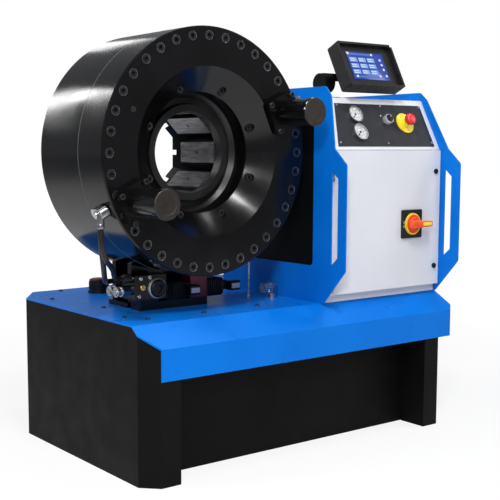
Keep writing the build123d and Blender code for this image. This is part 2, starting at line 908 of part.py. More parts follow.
with BuildPart() as return_rods:
    for angle in return_angles:
        with Locations(head_plane):
            with PolarLocations(return_circle, 1, start_angle=angle) as spot:
                places = spot.locations
        for place in places:
            with BuildSketch(Plane(place).offset(-piston_front)):
                Circle(return_rod_radius)
            extrude(amount=piston_front + return_piston_front)
            with BuildSketch(Plane(place).offset(return_piston_front - return_piston_length)):
                Circle(return_bore_radius - fit_gap)
            extrude(amount=return_piston_length)
save(return_rods, "return_rods")

# ---------------------------------------------------------------- valves and fittings
manifold_middle = ((manifold_x[0] + manifold_x[1]) / 2, (manifold_y[0] + manifold_y[1]) / 2)
valve_low = tray_top + valve_lift
solenoid_z = valve_low + solenoid_radius + 3
union_y = (-143.0, -105.0)
union_z = 547.0
union_hexagon = 40.0
union_length = 64.0
ferrule_radius = 10.5
ferrule_length = 22.0
return_end = (-142.0, 585.0)      # where each hose meets the manifold, along Y and Z
pressure_end = (-108.0, 579.0)

with BuildPart() as valve_manifold:
    with BuildSketch(Plane.XY.offset(tray_top + manifold_lift)):
        with Locations(manifold_middle):
            Rectangle(manifold_x[1] - manifold_x[0], manifold_y[1] - manifold_y[0])
    extrude(amount=manifold_top - manifold_lift)
    chamfer(valve_manifold.edges().filter_by(Axis.Z), 3)
    # foot under the block, and the low rail that carries the valve on its right
    with BuildSketch(Plane.XY.offset(tray_top)):
        with Locations(manifold_middle):
            Rectangle(manifold_foot, valve_depth)
    extrude(amount=manifold_lift)
    with BuildSketch(Plane.XY.offset(tray_top)):
        with Locations(((manifold_middle[0] + valve_x[1]) / 2, manifold_middle[1])):
            Rectangle(valve_x[1] - manifold_middle[0], valve_depth)
    extrude(amount=valve_lift)
save(valve_manifold, "valve_manifold")

with BuildPart() as directional_valve:
    with BuildSketch(Plane.XY.offset(valve_low)):
        with Locations(((valve_x[0] + valve_x[1]) / 2, manifold_middle[1])):
            Rectangle(valve_x[1] - valve_x[0], valve_depth)
    extrude(amount=valve_top - valve_lift)
    chamfer(directional_valve.edges(), 2)
save(directional_valve, "directional_valve")

with BuildPart() as solenoids:
    for x, way in ((valve_x[0], -1), (valve_x[1], 1)):
        tube_plane = Plane(origin=(x, manifold_middle[1], solenoid_z), x_dir=(0, 1, 0), z_dir=(way, 0, 0))
        with BuildSketch(tube_plane):
            RectangleRounded(2 * solenoid_radius, 2 * solenoid_radius, 8)
        extrude(amount=solenoid_length * (1 - solenoid_cap))
        with BuildSketch(tube_plane.offset(solenoid_length * (1 - solenoid_cap))):
            Circle(solenoid_radius * 0.6)
        extrude(amount=solenoid_length * solenoid_cap)
save(solenoids, "solenoids")

elbow_cabinet_gap = 40.0    # from the elbow's middle to the cabinet
elbow_x = cabinet_left - elbow_cabinet_gap
elbow_y = -165.0

# the union on the head's side points straight out from the head's axis
reach = math.hypot(banjo_z - head_z, banjo_x[0] - head_x)
out = ((banjo_x[0] - head_x) / reach, 0, (banjo_z - head_z) / reach)
foot = (head_x + head_radius * out[0], sum(banjo_y) / 2, head_z + head_radius * out[2])

with BuildPart() as hydraulic_fittings:
    # two hexagon unions on the left face of the manifold
    for y in union_y:
        union_plane = Plane(origin=(manifold_x[0], y, union_z), x_dir=(0, 1, 0), z_dir=(-1, 0, 0))
        with BuildSketch(union_plane):
            RegularPolygon(nut_radius, 6)
        extrude(amount=union_hexagon)
        with BuildSketch(union_plane.offset(union_hexagon)):
            Circle(nut_radius - 3)
        extrude(amount=union_length - union_hexagon)
    # sleeves that hold the lower ends of the hoses
    for y, z in (return_end, pressure_end):
        with BuildSketch(Plane(origin=(manifold_x[0], y, z), x_dir=(0, 1, 0), z_dir=(-1, 0, 0))):
            Circle(ferrule_radius)
        extrude(amount=ferrule_length)
    # elbow on the cover, beside the cabinet
    with BuildSketch(Plane(origin=(elbow_x, elbow_y, tray_top))):
        Circle(20)
    extrude(amount=14)
    with BuildSketch(Plane(origin=(elbow_x, elbow_y, tray_top + 14))):
        RegularPolygon(19, 6)
    extrude(amount=40)
    with BuildSketch(Plane(origin=(elbow_x, elbow_y, tray_top + 36), x_dir=(0, 1, 0), z_dir=(-1, 0, 0))):
        RegularPolygon(17, 6)
    extrude(amount=44)
    # union screwed into the side of the flange, which both hoses leave downwards
    with BuildSketch(Plane(origin=foot, x_dir=(0, 1, 0), z_dir=out)):
        Circle(12)
    extrude(amount=reach - head_radius + 14)
    with BuildSketch(Plane(origin=foot, x_dir=(0, 1, 0), z_dir=out).offset(4)):
        RectangleRounded(62, 34, 15)
    extrude(amount=26)
    for x, y in zip(banjo_x, banjo_y):
        with BuildSketch(Plane.XY.offset(hose_top)):
            with Locations((x, y)):
                Circle(hose_radius + 2.5)
        extrude(amount=banjo_z - hose_top)
save(hydraulic_fittings, "hydraulic_fittings")

# ---------------------------------------------------------------- hoses
def hose(points, name):
    """Plain tube along a hand-chosen route, each corner rounded as widely as its runs allow."""
    radii = []
    for before, here, after in zip(points, points[1:], points[2:]):
        arriving = Vector(*here) - Vector(*before)
        leaving = Vector(*after) - Vector(*here)
        turn = math.radians(arriving.get_angle(leaving))
        radii.append(0.45 * min(arriving.length, leaving.length) / math.tan(turn / 2))
    with BuildPart() as tube:
        with BuildLine() as route:
            FilletPolyline(*points, radius=radii)
        first = Vector(*points[1]) - Vector(*points[0])
        with BuildSketch(Plane(origin=points[0], z_dir=first)):
            Circle(hose_radius)
        sweep()
    length = sum(edge.length for edge in route.edges())
    print(name, "length", round(length), "radii", [round(r) for r in radii])
    print("   volume over section times length", round(tube.part.volume / (math.pi * hose_radius**2 * length), 4))
    save(tube, name)


hose_end_x = manifold_x[0] - ferrule_length

return_hose_route = (
    (banjo_x[0], banjo_y[0], hose_top),
    (banjo_x[0], banjo_y[0], 732),
    (-690, -280, 695),
    (-675, -272, 664),
    (-646, -245, 647),
    (-613, -209, 625),
    (-590, -174, 603),
    (-570, -151, 590),
    (-550, *return_end),
    (hose_end_x, *return_end),
)
hose(return_hose_route, "return_hose")

pressure_hose_route = (
    (banjo_x[1], banjo_y[1], hose_top),
    (banjo_x[1], banjo_y[1], 724),
    (-679, -254, 690),
    (-666, -239, 650),
    (-651, -219, 617),
    (-629, -184, 595),
    (-607, -150, 584),
    (-584, -122, 580),
    (-558, *pressure_end),
    (hose_end_x, *pressure_end),
)
hose(pressure_hose_route, "pressure_hose")

# ---------------------------------------------------------------- control cabinet
def side_plate(outer_x, top_front, corner):
    """Cabinet side with its handle nose; top_front leads from the waist up to the flat top."""
    with BuildPart() as plate:
        with BuildSketch(Plane.YZ.offset(outer_x)) as outline:
            with BuildLine():
                Polyline(
                    (plate_foot_y, tray_top),
                    (nose_y, nose_low),
                    (nose_y, nose_high),
                    (waist_y, waist_z),
                    top_front,
                    corner,
                    (cabinet_rear, cabinet_top),
                    (cabinet_rear, tray_top),
                    close=True,
                )
            make_face()
            with BuildLine():
                Polyline(
                    (slot_rear_y, slot_low),
                    (slot_rear_y, slot_high),
                    (slot_front_y, slot_high - slot_slant),
                    (slot_front_y, slot_low + slot_slant),
                    close=True,
                )
            make_face(mode=Mode.SUBTRACT)
        extrude(amount=plate_thickness)
        nose_edges = plate.edges().filter_by(Axis.X).group_by(Axis.Y)[0]
        fillet(nose_edges, 12)
        brow = plate.edges().filter_by(Axis.X).sort_by_distance((outer_x, top_front[0], top_front[1]))[0:2]
        fillet(brow, 16)
    return plate


with BuildPart() as cabinet_left_plate:
    add(side_plate(cabinet_left, (-410, 1168), (-384, cabinet_top)).part)
    with BuildSketch(Plane.YZ.offset(cabinet_left)):
        with Locations((sum(vent_y) / 2, sum(vent_z) / 2)):
            RectangleRounded(vent_y[1] - vent_y[0], vent_z[1] - vent_z[0], vent_corner)
    extrude(amount=plate_thickness, mode=Mode.SUBTRACT)
save(cabinet_left_plate, "cabinet_left_plate")

cabinet_right_plate = side_plate(cabinet_right - plate_thickness, (-324, 1172), (-292, cabinet_top))
save(cabinet_right_plate, "cabinet_right_plate")

with BuildPart() as left_vent_panel:
    with BuildSketch(Plane.YZ.offset(cabinet_left + plate_thickness)):
        with Locations((sum(vent_y) / 2, sum(vent_z) / 2)):
            RectangleRounded(
                vent_y[1] - vent_y[0] + 2 * vent_overlap,
                vent_z[1] - vent_z[0] + 2 * vent_overlap,
                vent_corner,
            )
    extrude(amount=vent_sheet)
save(left_vent_panel, "left_vent_panel")

inner_left = cabinet_left + plate_thickness
inner_right = cabinet_right - plate_thickness
inner_width = inner_right - inner_left
inner_middle = (inner_left + inner_right) / 2

with BuildPart() as cabinet_rear_panel:
    with BuildSketch(Plane.XZ.offset(-(cabinet_rear - cover_thickness))):
        with Locations((inner_middle, (tray_top + cover_top - cover_thickness) / 2)):
            Rectangle(inner_width, cover_top - cover_thickness - tray_top)
        with Locations((inner_middle, 1080)):
            with GridLocations(0, 16, 1, 5):
                SlotOverall(220, 6, mode=Mode.SUBTRACT)
    extrude(amount=-cover_thickness)
save(cabinet_rear_panel, "cabinet_rear_panel")

panel_lean = math.radians(panel_angle)
slope_length = (cover_top - cover_foot_z) / math.cos(panel_lean)
brow_y = cover_foot_y + slope_length * math.sin(panel_lean)
control_plane = Plane(
    origin=(cabinet_left, cover_foot_y, cover_foot_z),
    x_dir=(1, 0, 0),
    z_dir=(0, -math.cos(panel_lean), math.sin(panel_lean)),
)
panel_face = control_plane.offset(panel_thickness)
gauge_places = [panel_face.from_local_coords((x, s, 0)) for x, s in gauge_positions]

with BuildPart() as control_cover:
    # sloping front and flat top, folded from one sheet, between the vent panel and the right plate
    with BuildSketch(Plane.YZ.offset(inner_left + vent_sheet)):
        with BuildLine():
            Polyline(
                (cover_foot_y + frame_setback, cover_foot_z - cover_thickness),
                (cover_foot_y, cover_foot_z - cover_thickness),
                (cover_foot_y, cover_foot_z),
                (brow_y, cover_top),
                (cabinet_rear, cover_top),
                (cabinet_rear, cover_top - cover_thickness),
                (brow_y + 2, cover_top - cover_thickness),
                (cover_foot_y + 4, cover_foot_z),
                (cover_foot_y + frame_setback, cover_foot_z),
                close=True,
            )
        make_face()
    extrude(amount=inner_width - vent_sheet)
    # frame behind the door: an upright on each side and a sill across the bottom
    with BuildSketch(Plane.XZ.offset(-(cover_foot_y + frame_setback))):
        for x in (inner_left + vent_sheet + frame_width / 2, inner_right - frame_width / 2):
            with Locations((x, (tray_top + cover_foot_z) / 2)):
                Rectangle(frame_width, cover_foot_z - tray_top)
        with Locations(((inner_left + vent_sheet + inner_right) / 2, (tray_top + frame_sill) / 2)):
            Rectangle(inner_width - vent_sheet, frame_sill - tray_top)
    extrude(amount=cover_thickness)
    with BuildSketch(control_plane.offset(1)):
        for x, s in gauge_positions:
            with Locations((x, s)):
                Circle(gauge_body_radius + 1)
        with Locations(selector_position, stop_position):
            Circle(panel_hole_radius)
    extrude(amount=-12, mode=Mode.SUBTRACT)
save(control_cover, "control_cover")

with BuildPart() as control_panel:
    with BuildSketch(control_plane):
        with BuildLine():
            Polyline(*panel_corners, close=True)
        make_face()
        for x, s in gauge_positions:
            with Locations((x, s)):
                Circle(gauge_body_radius + 1, mode=Mode.SUBTRACT)
        with Locations(selector_position, stop_position):
            Circle(panel_hole_radius, mode=Mode.SUBTRACT)
    extrude(amount=panel_thickness)
save(control_panel, "control_panel")

with BuildPart() as pressure_gauges:
    for x, s in gauge_positions:
        with BuildSketch(panel_face):
            with Locations((x, s)):
                Circle(gauge_radius)
        extrude(amount=gauge_rim)
        with BuildSketch(panel_face.offset(gauge_rim)):
            with Locations((x, s)):
                Circle(gauge_radius - 4)
        extrude(amount=-(gauge_rim - 3), mode=Mode.SUBTRACT)
        with BuildSketch(panel_face):
            with Locations((x, s)):
                Circle(gauge_body_radius)
        extrude(amount=-gauge_depth)
        # spindle of the pointer
        with BuildSketch(panel_face.offset(3)):
            with Locations((x, s)):
                Circle(1.5)
        extrude(amount=3.5)
save(pressure_gauges, "pressure_gauges")

needle_length = 20.0

for label, (x, s) in zip(("upper", "lower"), gauge_positions):
    with BuildPart() as needle:
        with BuildSketch(panel_face.offset(4.5)):
            with Locations((x, s)):
                Circle(4)
            with Locations(Location((x, s, 0), (0, 0, 225))):
                with Locations((needle_length / 2 - 3, 0)):
                    Rectangle(needle_length + 6, 2.4)
            with Locations((x, s)):
                Circle(1.5 + slide_gap / 2, mode=Mode.SUBTRACT)
        extrude(amount=1)
    save(needle, f"gauge_needle_{label}")

with BuildPart() as selector_knob:
    with BuildSketch(panel_face.offset(1)):
        with Locations(selector_position):
            Circle(selector_radius)
    extrude(amount=9)
    with BuildSketch(panel_face.offset(10)):
        with Locations(selector_position):
            SlotOverall(2 * selector_radius - 2, 9, rotation=60)
    extrude(amount=13)
    with BuildSketch(panel_face.offset(1)):
        with Locations(selector_position):
            Circle(9)
    extrude(amount=-24)
save(selector_knob, "selector_knob")

with BuildPart() as stop_collar:
    for radius, top in ((stop_collar_radius, stop_collar_thickness), (stop_neck_radius, stop_neck_top)):
        with BuildSketch(panel_face):
            with Locations(stop_position):
                Circle(radius)
        extrude(amount=top)
    with BuildSketch(panel_face):
        with Locations(stop_position):
            Circle(stop_stem_radius)
    extrude(amount=stop_neck_top, mode=Mode.SUBTRACT)
save(stop_collar, "emergency_stop_collar")

with BuildPart() as stop_button:
    with BuildSketch(panel_face.offset(stop_head_low)):
        with Locations(stop_position):
            Circle(stop_head_radius)
    extrude(amount=stop_head_height)
    chamfer(stop_button.faces().sort_by(Axis((0, 0, 0), panel_face.z_dir))[-1].edges(), 5)
    with BuildSketch(panel_face.offset(stop_head_low)):
        with Locations(stop_position):
            Circle(stop_stem_radius - fit_gap)
    extrude(amount=-(stop_head_low + 18))
save(stop_button, "emergency_stop_button")

# ---------------------------------------------------------------- door
door_left = inner_left + door_gap
door_right = inner_right - door_gap
door_middle = (door_left + door_right) / 2
door_centre_z = (door_low + door_high) / 2
door_plane = Plane.XZ.offset(-door_front)
hinge_x = door_left + hinge_radius
hinge_y = door_front - hinge_radius - fit_gap
cam_depth = cover_foot_y + frame_setback - door_front + 0.5

with BuildPart() as front_door:
    with BuildSketch(door_plane):
        with Locations((door_middle, door_centre_z)):
            Rectangle(door_right - door_left, door_high - door_low)
    extrude(amount=-door_thickness)
    with BuildSketch(door_plane.offset(-door_skin)):
        with Locations((door_middle, door_centre_z)):
            Rectangle(door_right - door_left - 2 * door_skin, door_high - door_low - 2 * door_skin)
    extrude(amount=-door_thickness, mode=Mode.SUBTRACT)
    fillet(front_door.edges().filter_by(Axis.Y).group_by(SortBy.LENGTH)[-1], 1.5)
    # moving knuckles of the hinges, in the middle of each pin
    for z in hinge_z:
        with BuildSketch(Plane.XY.offset(z - hinge_knuckle / 2)):
            with Locations((hinge_x, hinge_y)):
                Circle(hinge_radius)
            with Locations((hinge_x, (hinge_y + door_front) / 2)):
                Rectangle(2 * hinge_radius, door_front - hinge_y)
            with Locations((hinge_x, hinge_y)):
                Circle(hinge_pin_radius + slide_gap, mode=Mode.SUBTRACT)
        extrude(amount=hinge_knuckle)
    with BuildSketch(door_plane):
        for z in latch_z:
            with Locations((latch_x, z)):
                Circle(5)
        with Locations((switch_x, switch_z)):
            Circle(12)
    extrude(amount=-door_skin, mode=Mode.SUBTRACT)
save(front_door, "front_door")

with BuildPart() as door_hinges:
    for z in hinge_z:
        with BuildSketch(Plane.XY.offset(z - hinge_knuckle * 1.5 - fit_gap)):
            with Locations((hinge_x, hinge_y)):
                Circle(hinge_pin_radius)
        extrude(amount=hinge_knuckle * 3 + 2 * fit_gap)
        for low in (z - hinge_knuckle * 1.5 - fit_gap, z + hinge_knuckle / 2 + fit_gap):
            with BuildSketch(Plane.XY.offset(low)):
                with Locations((hinge_x, hinge_y)):
                    Circle(hinge_radius)
                with Locations(((hinge_x + inner_left) / 2, hinge_y)):
                    Rectangle(hinge_x - inner_left, 4)
            extrude(amount=hinge_knuckle)
save(door_hinges, "door_hinges")

for label, z in zip(("lower", "upper"), latch_z):
    with BuildPart() as latch:
        with BuildSketch(door_plane):
            with Locations((latch_x, z)):
                Circle(latch_radius)
        extrude(amount=5)
        with BuildSketch(door_plane.offset(5)):
            with Locations((latch_x, z)):
                Rectangle(3, 11)
        extrude(amount=-2.5, mode=Mode.SUBTRACT)
        with BuildSketch(door_plane):
            with Locations((latch_x, z)):
                Circle(5 - slide_gap)
        extrude(amount=-(cam_depth + cover_thickness))
        # cam behind the door frame: it hangs down when open, and turns to the right to lock
        with BuildSketch(door_plane.offset(-cam_depth)):
            with Locations((latch_x, z - cam_length / 2 + cam_overhang)):
                Rectangle(cam_width, cam_length)
        extrude(amount=-cover_thickness)
    save(latch, f"door_latch_{label}")

with BuildPart() as main_switch_plate:
    with BuildSketch(door_plane):
        with Locations((switch_x, switch_z)):
            RectangleRounded(switch_side, switch_side, 4)
    extrude(amount=7)
    with BuildSketch(door_plane.offset(7)):
        with Locations((switch_x, switch_z)):
            Circle(switch_ring_radius)
    extrude(amount=6)
    with BuildSketch(door_plane.offset(13)):
        with Locations((switch_x, switch_z)):
            Circle(10)
    extrude(amount=-15, mode=Mode.SUBTRACT)
save(main_switch_plate, "main_switch_plate")

with BuildPart() as main_switch_handle:
    with BuildSketch(door_plane.offset(14)):
        with Locations((switch_x, switch_z)):
            Circle(24)
    extrude(amount=8)
    with BuildSketch(door_plane.offset(22)):
        with Locations((switch_x + 19, switch_z)):
            SlotOverall(106, 24)
    extrude(amount=20)
    with BuildSketch(door_plane.offset(14)):
        with Locations((switch_x, switch_z)):
            Circle(10 - fit_gap)
    extrude(amount=-36)
save(main_switch_handle, "main_switch_handle")

# ---------------------------------------------------------------- display on its arm
display_lean = math.radians(display_angle)
display_plane = Plane(
    origin=(display_middle, display_foot_y, display_foot_z),
    x_dir=(1, 0, 0),
    z_dir=(0, -math.cos(display_lean), math.sin(display_lean)),
)
pivot_local = (display_pivot_x - display_middle, display_pivot_up, -(display_depth + display_pivot_back))
pivot = display_plane.from_local_coords(pivot_local)
pivot_plane = Plane(origin=(0, pivot.Y, pivot.Z), x_dir=(0, 1, 0), z_dir=(1, 0, 0))
ear_thickness = 8.0
tongue_thickness = 20.0
ear_radius = 13.0
pivot_pin_radius = 5.0
slit_low = 60.0
slit_high = 145.0
notch_side = 9.0

with BuildPart() as display_housing:
    with BuildSketch(display_plane):
        with Locations((0, display_height / 2)):
            RectangleRounded(display_width, display_height, 8)
    extrude(amount=-display_depth)
    chamfer(display_housing.faces().sort_by(Axis((0, 0, 0), display_plane.z_dir))[0].edges(), 6)
    # visor around the screen
    with BuildSketch(display_plane):
        with Locations((0, display_height / 2)):
            RectangleRounded(display_width, display_height, 8)
            RectangleRounded(
                display_width - 2 * visor_wall,
                display_height - 2 * visor_wall,
                4,
                mode=Mode.SUBTRACT,
            )
    extrude(amount=visor_height)
    # slit through the right-hand wall of the visor, and the notch in its upper corner
    with BuildSketch(display_plane.offset(visor_height / 3)):
        with Locations((display_width / 2, (slit_low + slit_high) / 2)):
            Rectangle(2 * visor_wall + 2, slit_high - slit_low)
    extrude(amount=visor_height / 4, mode=Mode.SUBTRACT)
    with BuildSketch(display_plane.offset(visor_height / 3)):
        with Locations((display_width / 2, display_height)):
            Rectangle(2 * notch_side, 2 * notch_side)
    extrude(amount=visor_height, mode=Mode.SUBTRACT)
    # two ears behind it, for the tilt pin
    for side in (-1, 1):
        near = display_pivot_x + side * (tongue_thickness / 2 + fit_gap)
        far = near + side * ear_thickness
        with BuildSketch(pivot_plane.offset(min(near, far))):
            Circle(ear_radius)
            Circle(pivot_pin_radius + slide_gap, mode=Mode.SUBTRACT)
        extrude(amount=ear_thickness)
    with BuildSketch(display_plane.offset(-display_depth + 0.01)):
        for side in (-1, 1):
            ear_middle = tongue_thickness / 2 + fit_gap + ear_thickness / 2
            with Locations((pivot_local[0] + side * ear_middle, display_pivot_up)):
                Rectangle(ear_thickness, 2 * ear_radius)
    extrude(amount=-display_pivot_back)
    for side in (-1, 1):
        near = display_pivot_x + side * (tongue_thickness / 2 + fit_gap)
        far = near + side * ear_thickness
        with BuildSketch(pivot_plane.offset(min(near, far))):
            Circle(pivot_pin_radius + slide_gap)
        extrude(amount=ear_thickness, mode=Mode.SUBTRACT)
save(display_housing, "display_housing")

with BuildPart() as display_screen:
    with BuildSketch(display_plane):
        with Locations((screen_across, display_height / 2)):
            RectangleRounded(screen_width, screen_height, 3)
    extrude(amount=1.2)
save(display_screen, "display_screen")

bracket_top = 1190.0
bracket_plate = 90.0
post_radius = 22.0
pin_radius = 10.0
pin_length = 30.0
knuckle_radius = 34.0
knuckle_width = 46.0
arm_low = bracket_top + 0.5
knuckle_z = arm_low + knuckle_radius + 3

with BuildPart() as display_bracket:
    with BuildSketch(Plane.XY.offset(cover_top)):
        with Locations((display_post_x, display_post_y)):
            RectangleRounded(bracket_plate, bracket_plate, 10)
    extrude(amount=8)
    with BuildSketch(Plane.XY.offset(cover_top)):
        with Locations((display_post_x, display_post_y)):
            Circle(post_radius)
    extrude(amount=bracket_top - cover_top)
    with BuildSketch(Plane.XY.offset(bracket_top)):
        with Locations((display_post_x, display_post_y)):
            Circle(pin_radius)
    extrude(amount=pin_length)
save(display_bracket, "display_bracket")

with BuildPart() as display_arm:
    with BuildSketch(Plane.XY.offset(arm_low)):
        with Locations((display_post_x, display_post_y)):
            Circle(post_radius)
    extrude(amount=knuckle_z - arm_low)
    # round knuckle over the post, its faces to the left and the right
    with BuildSketch(Plane.YZ.offset(display_post_x - knuckle_width / 2)):
        with Locations((display_post_y, knuckle_z)):
            Circle(knuckle_radius)
    extrude(amount=knuckle_width)
    # level link to the tongue behind the display
    with BuildSketch(Plane.XY.offset(pivot.Z - ear_radius)):
        with BuildLine():
            Polyline(
                (display_post_x - 12, display_post_y + 12),
                (display_pivot_x + tongue_thickness / 2, display_post_y + 12),
                (display_pivot_x + tongue_thickness / 2, pivot.Y),
                (display_pivot_x - tongue_thickness / 2, pivot.Y),
                (display_pivot_x - tongue_thickness / 2, display_post_y - 12),
                (display_post_x - 12, display_post_y - 12),
                close=True,
            )
        make_face()
    extrude(amount=2 * ear_radius)
    with BuildSketch(pivot_plane.offset(display_pivot_x - tongue_thickness / 2)):
        Circle(ear_radius)
    extrude(amount=tongue_thickness)
    with BuildSketch(Plane.XY.offset(arm_low)):
        with Locations((display_post_x, display_post_y)):
            Circle(pin_radius + slide_gap)
    extrude(amount=pin_length + 2, mode=Mode.SUBTRACT)
    with BuildSketch(pivot_plane.offset(display_pivot_x - tongue_thickness / 2 - ear_thickness - 2)):
        Circle(pivot_pin_radius)
    extrude(amount=tongue_thickness + 2 * ear_thickness + 4)
save(display_arm, "display_arm")

# ---------------------------------------------------------------- electrics inside the cabinet
mounting_back = cabinet_rear - 30.0
mounting_z = 790.0
mounting_height = 520.0
mounting_margin = 30.0      # between the mounting plate and the cabinet's sides
standoff_radius = 8.0
module_depth = 90.0
contactor_row = (900.0, 60.0, 5)                             # height, spacing and count
device_row_z = 740.0

with BuildPart() as electrical_panel:
    with BuildSketch(Plane.XZ.offset(-mounting_back)):
        with Locations((inner_middle, mounting_z)):
            Rectangle(inner_width - 2 * mounting_margin, mounting_height)
    extrude(amount=-cover_thickness)
    # standoffs to the rear panel
    with BuildSketch(Plane.XZ.offset(-(mounting_back + cover_thickness))):
        with Locations((inner_middle, mounting_z)):
            with GridLocations(inner_width - 100, mounting_height - 60, 2, 2):
                Circle(standoff_radius)
    extrude(amount=-(cabinet_rear - mounting_back - 2 * cover_thickness))
    # contactors, with the controller and the power supply under them
    with BuildSketch(Plane.XZ.offset(-mounting_back)):
        with Locations((inner_middle, contactor_row[0])):
            with GridLocations(contactor_row[1], 0, contactor_row[2], 1):
                Rectangle(48, 85)
        with Locations((inner_middle - 110, device_row_z)):
            Rectangle(150, 120)
        with Locations((inner_middle + 90, device_row_z)):
            Rectangle(120, 130)
    extrude(amount=module_depth)
save(electrical_panel, "electrical_panel")

gland_y = rear_y - recess_depth

with BuildPart() as cable_gland:
    with BuildSketch(Plane(origin=(gland_x, gland_y, gland_z), x_dir=(-1, 0, 0), z_dir=(0, 1, 0))):
        RegularPolygon(17, 6)
        Circle(gland_bore_radius, mode=Mode.SUBTRACT)
    extrude(amount=9)
    with BuildSketch(Plane(origin=(gland_x, gland_y + 9, gland_z), x_dir=(-1, 0, 0), z_dir=(0, 1, 0))):
        Circle(14)
        Circle(gland_bore_radius, mode=Mode.SUBTRACT)
    extrude(amount=18)
save(cable_gland, "cable_gland")
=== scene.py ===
# %% [markdown]
# # Dressing a hose crimping machine
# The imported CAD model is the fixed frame: every piece below is placed from the boxes of its nodes.
# The sizes are metres. The floor is z = 0, and the machine faces -Y.

# %% Load the frame
import bpy
import json
import math
from mathutils import Matrix, Vector


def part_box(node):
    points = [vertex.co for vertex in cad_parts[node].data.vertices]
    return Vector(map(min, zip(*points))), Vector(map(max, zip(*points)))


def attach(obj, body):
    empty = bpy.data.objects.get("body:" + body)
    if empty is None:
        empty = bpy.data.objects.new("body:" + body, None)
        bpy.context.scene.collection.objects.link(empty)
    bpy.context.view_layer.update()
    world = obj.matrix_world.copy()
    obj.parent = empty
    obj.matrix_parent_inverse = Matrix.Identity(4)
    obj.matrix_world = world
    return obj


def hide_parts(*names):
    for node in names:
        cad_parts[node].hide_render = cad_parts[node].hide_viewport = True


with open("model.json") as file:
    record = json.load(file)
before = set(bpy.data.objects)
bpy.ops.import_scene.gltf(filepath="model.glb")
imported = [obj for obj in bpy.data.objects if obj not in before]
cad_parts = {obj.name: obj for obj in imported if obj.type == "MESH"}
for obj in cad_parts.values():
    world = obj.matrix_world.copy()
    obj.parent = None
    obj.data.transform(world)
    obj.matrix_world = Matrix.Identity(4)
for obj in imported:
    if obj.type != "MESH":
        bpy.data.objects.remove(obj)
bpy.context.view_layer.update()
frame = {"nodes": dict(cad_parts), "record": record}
nodes = frame["nodes"]
FRONT = Vector((0, -1, 0))
UP = Vector((0, 0, 1))
print("nodes in the frame:", len(nodes))

# %% [markdown]
# ## Camera
# A long lens a few metres away keeps the uprights nearly parallel, as a catalogue picture does.
# It stands off the left-hand corner, a little above the middle of the machine, and looks slightly down.

# %% Camera
camera_data = bpy.data.cameras.new("camera")
camera = bpy.data.objects.new("camera", camera_data)
bpy.context.scene.collection.objects.link(camera)
LOOK_DOWN, LOOK_RIGHT = 6.45, 36.58
camera.location = (-2.1856, -2.8470, 0.9943)
camera.rotation_euler = (math.radians(90 - LOOK_DOWN), 0, math.radians(-LOOK_RIGHT))
camera_data.lens = 72.47
camera_data.shift_x = 0.0709
camera_data.shift_y = 0.0262
bpy.context.scene.camera = camera

# %% [markdown]
# ## Hoses
# Two short pressure hoses leave the union on the head's side and sink down to the manifold.
# Each is one smooth spline led by the corner points of its solid's route, with a round bevel.

# %% Hose routes
HOSE_RADIUS = 0.0085
return_points = [
    (-0.697, -0.280, 0.776), (-0.697, -0.280, 0.732), (-0.690, -0.280, 0.695), (-0.675, -0.272, 0.664),
    (-0.646, -0.245, 0.647), (-0.613, -0.209, 0.625), (-0.590, -0.174, 0.603), (-0.570, -0.151, 0.590),
    (-0.550, -0.142, 0.585), (-0.529, -0.142, 0.585),
]
pressure_points = [
    (-0.685, -0.259, 0.776), (-0.685, -0.259, 0.724), (-0.679, -0.254, 0.690), (-0.666, -0.239, 0.650),
    (-0.651, -0.219, 0.617), (-0.629, -0.184, 0.595), (-0.607, -0.150, 0.584), (-0.584, -0.122, 0.580),
    (-0.558, -0.108, 0.579), (-0.529, -0.108, 0.579),
]


def hose(name, points):
    """A round hose on one NURBS spline."""
    line = bpy.data.curves.new(name, "CURVE")
    line.dimensions = "3D"
    # each point's own radius scales this bevel, so the curve's bounds are those of the tube
    line.bevel_depth = 1.0
    line.bevel_resolution = 8
    line.resolution_u = 8
    spline = line.splines.new("NURBS")
    spline.points.add(len(points) - 1)
    for point, place in zip(spline.points, points):
        point.co = (*place, 1)
        point.radius = HOSE_RADIUS
    # third order follows the route closely and stays smooth
    spline.order_u = 3
    spline.use_endpoint_u = True
    piece = bpy.data.objects.new(name, line)
    bpy.context.scene.collection.objects.link(piece)
    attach(piece, "machine")
    return piece


return_hose = hose("return_hose_dressed", return_points)
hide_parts("return_hose")
pressure_hose = hose("pressure_hose_dressed", pressure_points)
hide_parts("pressure_hose")

# %% [markdown]
# ## Finishes
# Every finish is one shader whose colour, gloss and relief vary a little with noise in object space,
# because real paint has orange peel, turned steel has rings and moulded plastic has a fine grain.

# %% Shader helpers
def start_finish(name):
    """A new material with its principled shader, its links and the object coordinates."""
    material = bpy.data.materials.new(name)
    material.use_nodes = True
    tree = material.node_tree
    shader = tree.nodes["Principled BSDF"]
    coordinates = tree.nodes.new("ShaderNodeTexCoord")
    return material, tree, shader, coordinates.outputs["Object"]


def noise(tree, coordinates, scale, detail=3.0, stretch=(1, 1, 1)):
    """Noise in object space; stretch squeezes the pattern along the axes it is large on."""
    mapping = tree.nodes.new("ShaderNodeMapping")
    mapping.inputs["Scale"].default_value = stretch
    tree.links.new(coordinates, mapping.inputs["Vector"])
    texture = tree.nodes.new("ShaderNodeTexNoise")
    texture.inputs["Scale"].default_value = scale
    texture.inputs["Detail"].default_value = detail
    tree.links.new(mapping.outputs["Vector"], texture.inputs["Vector"])
    return texture.outputs["Fac"]


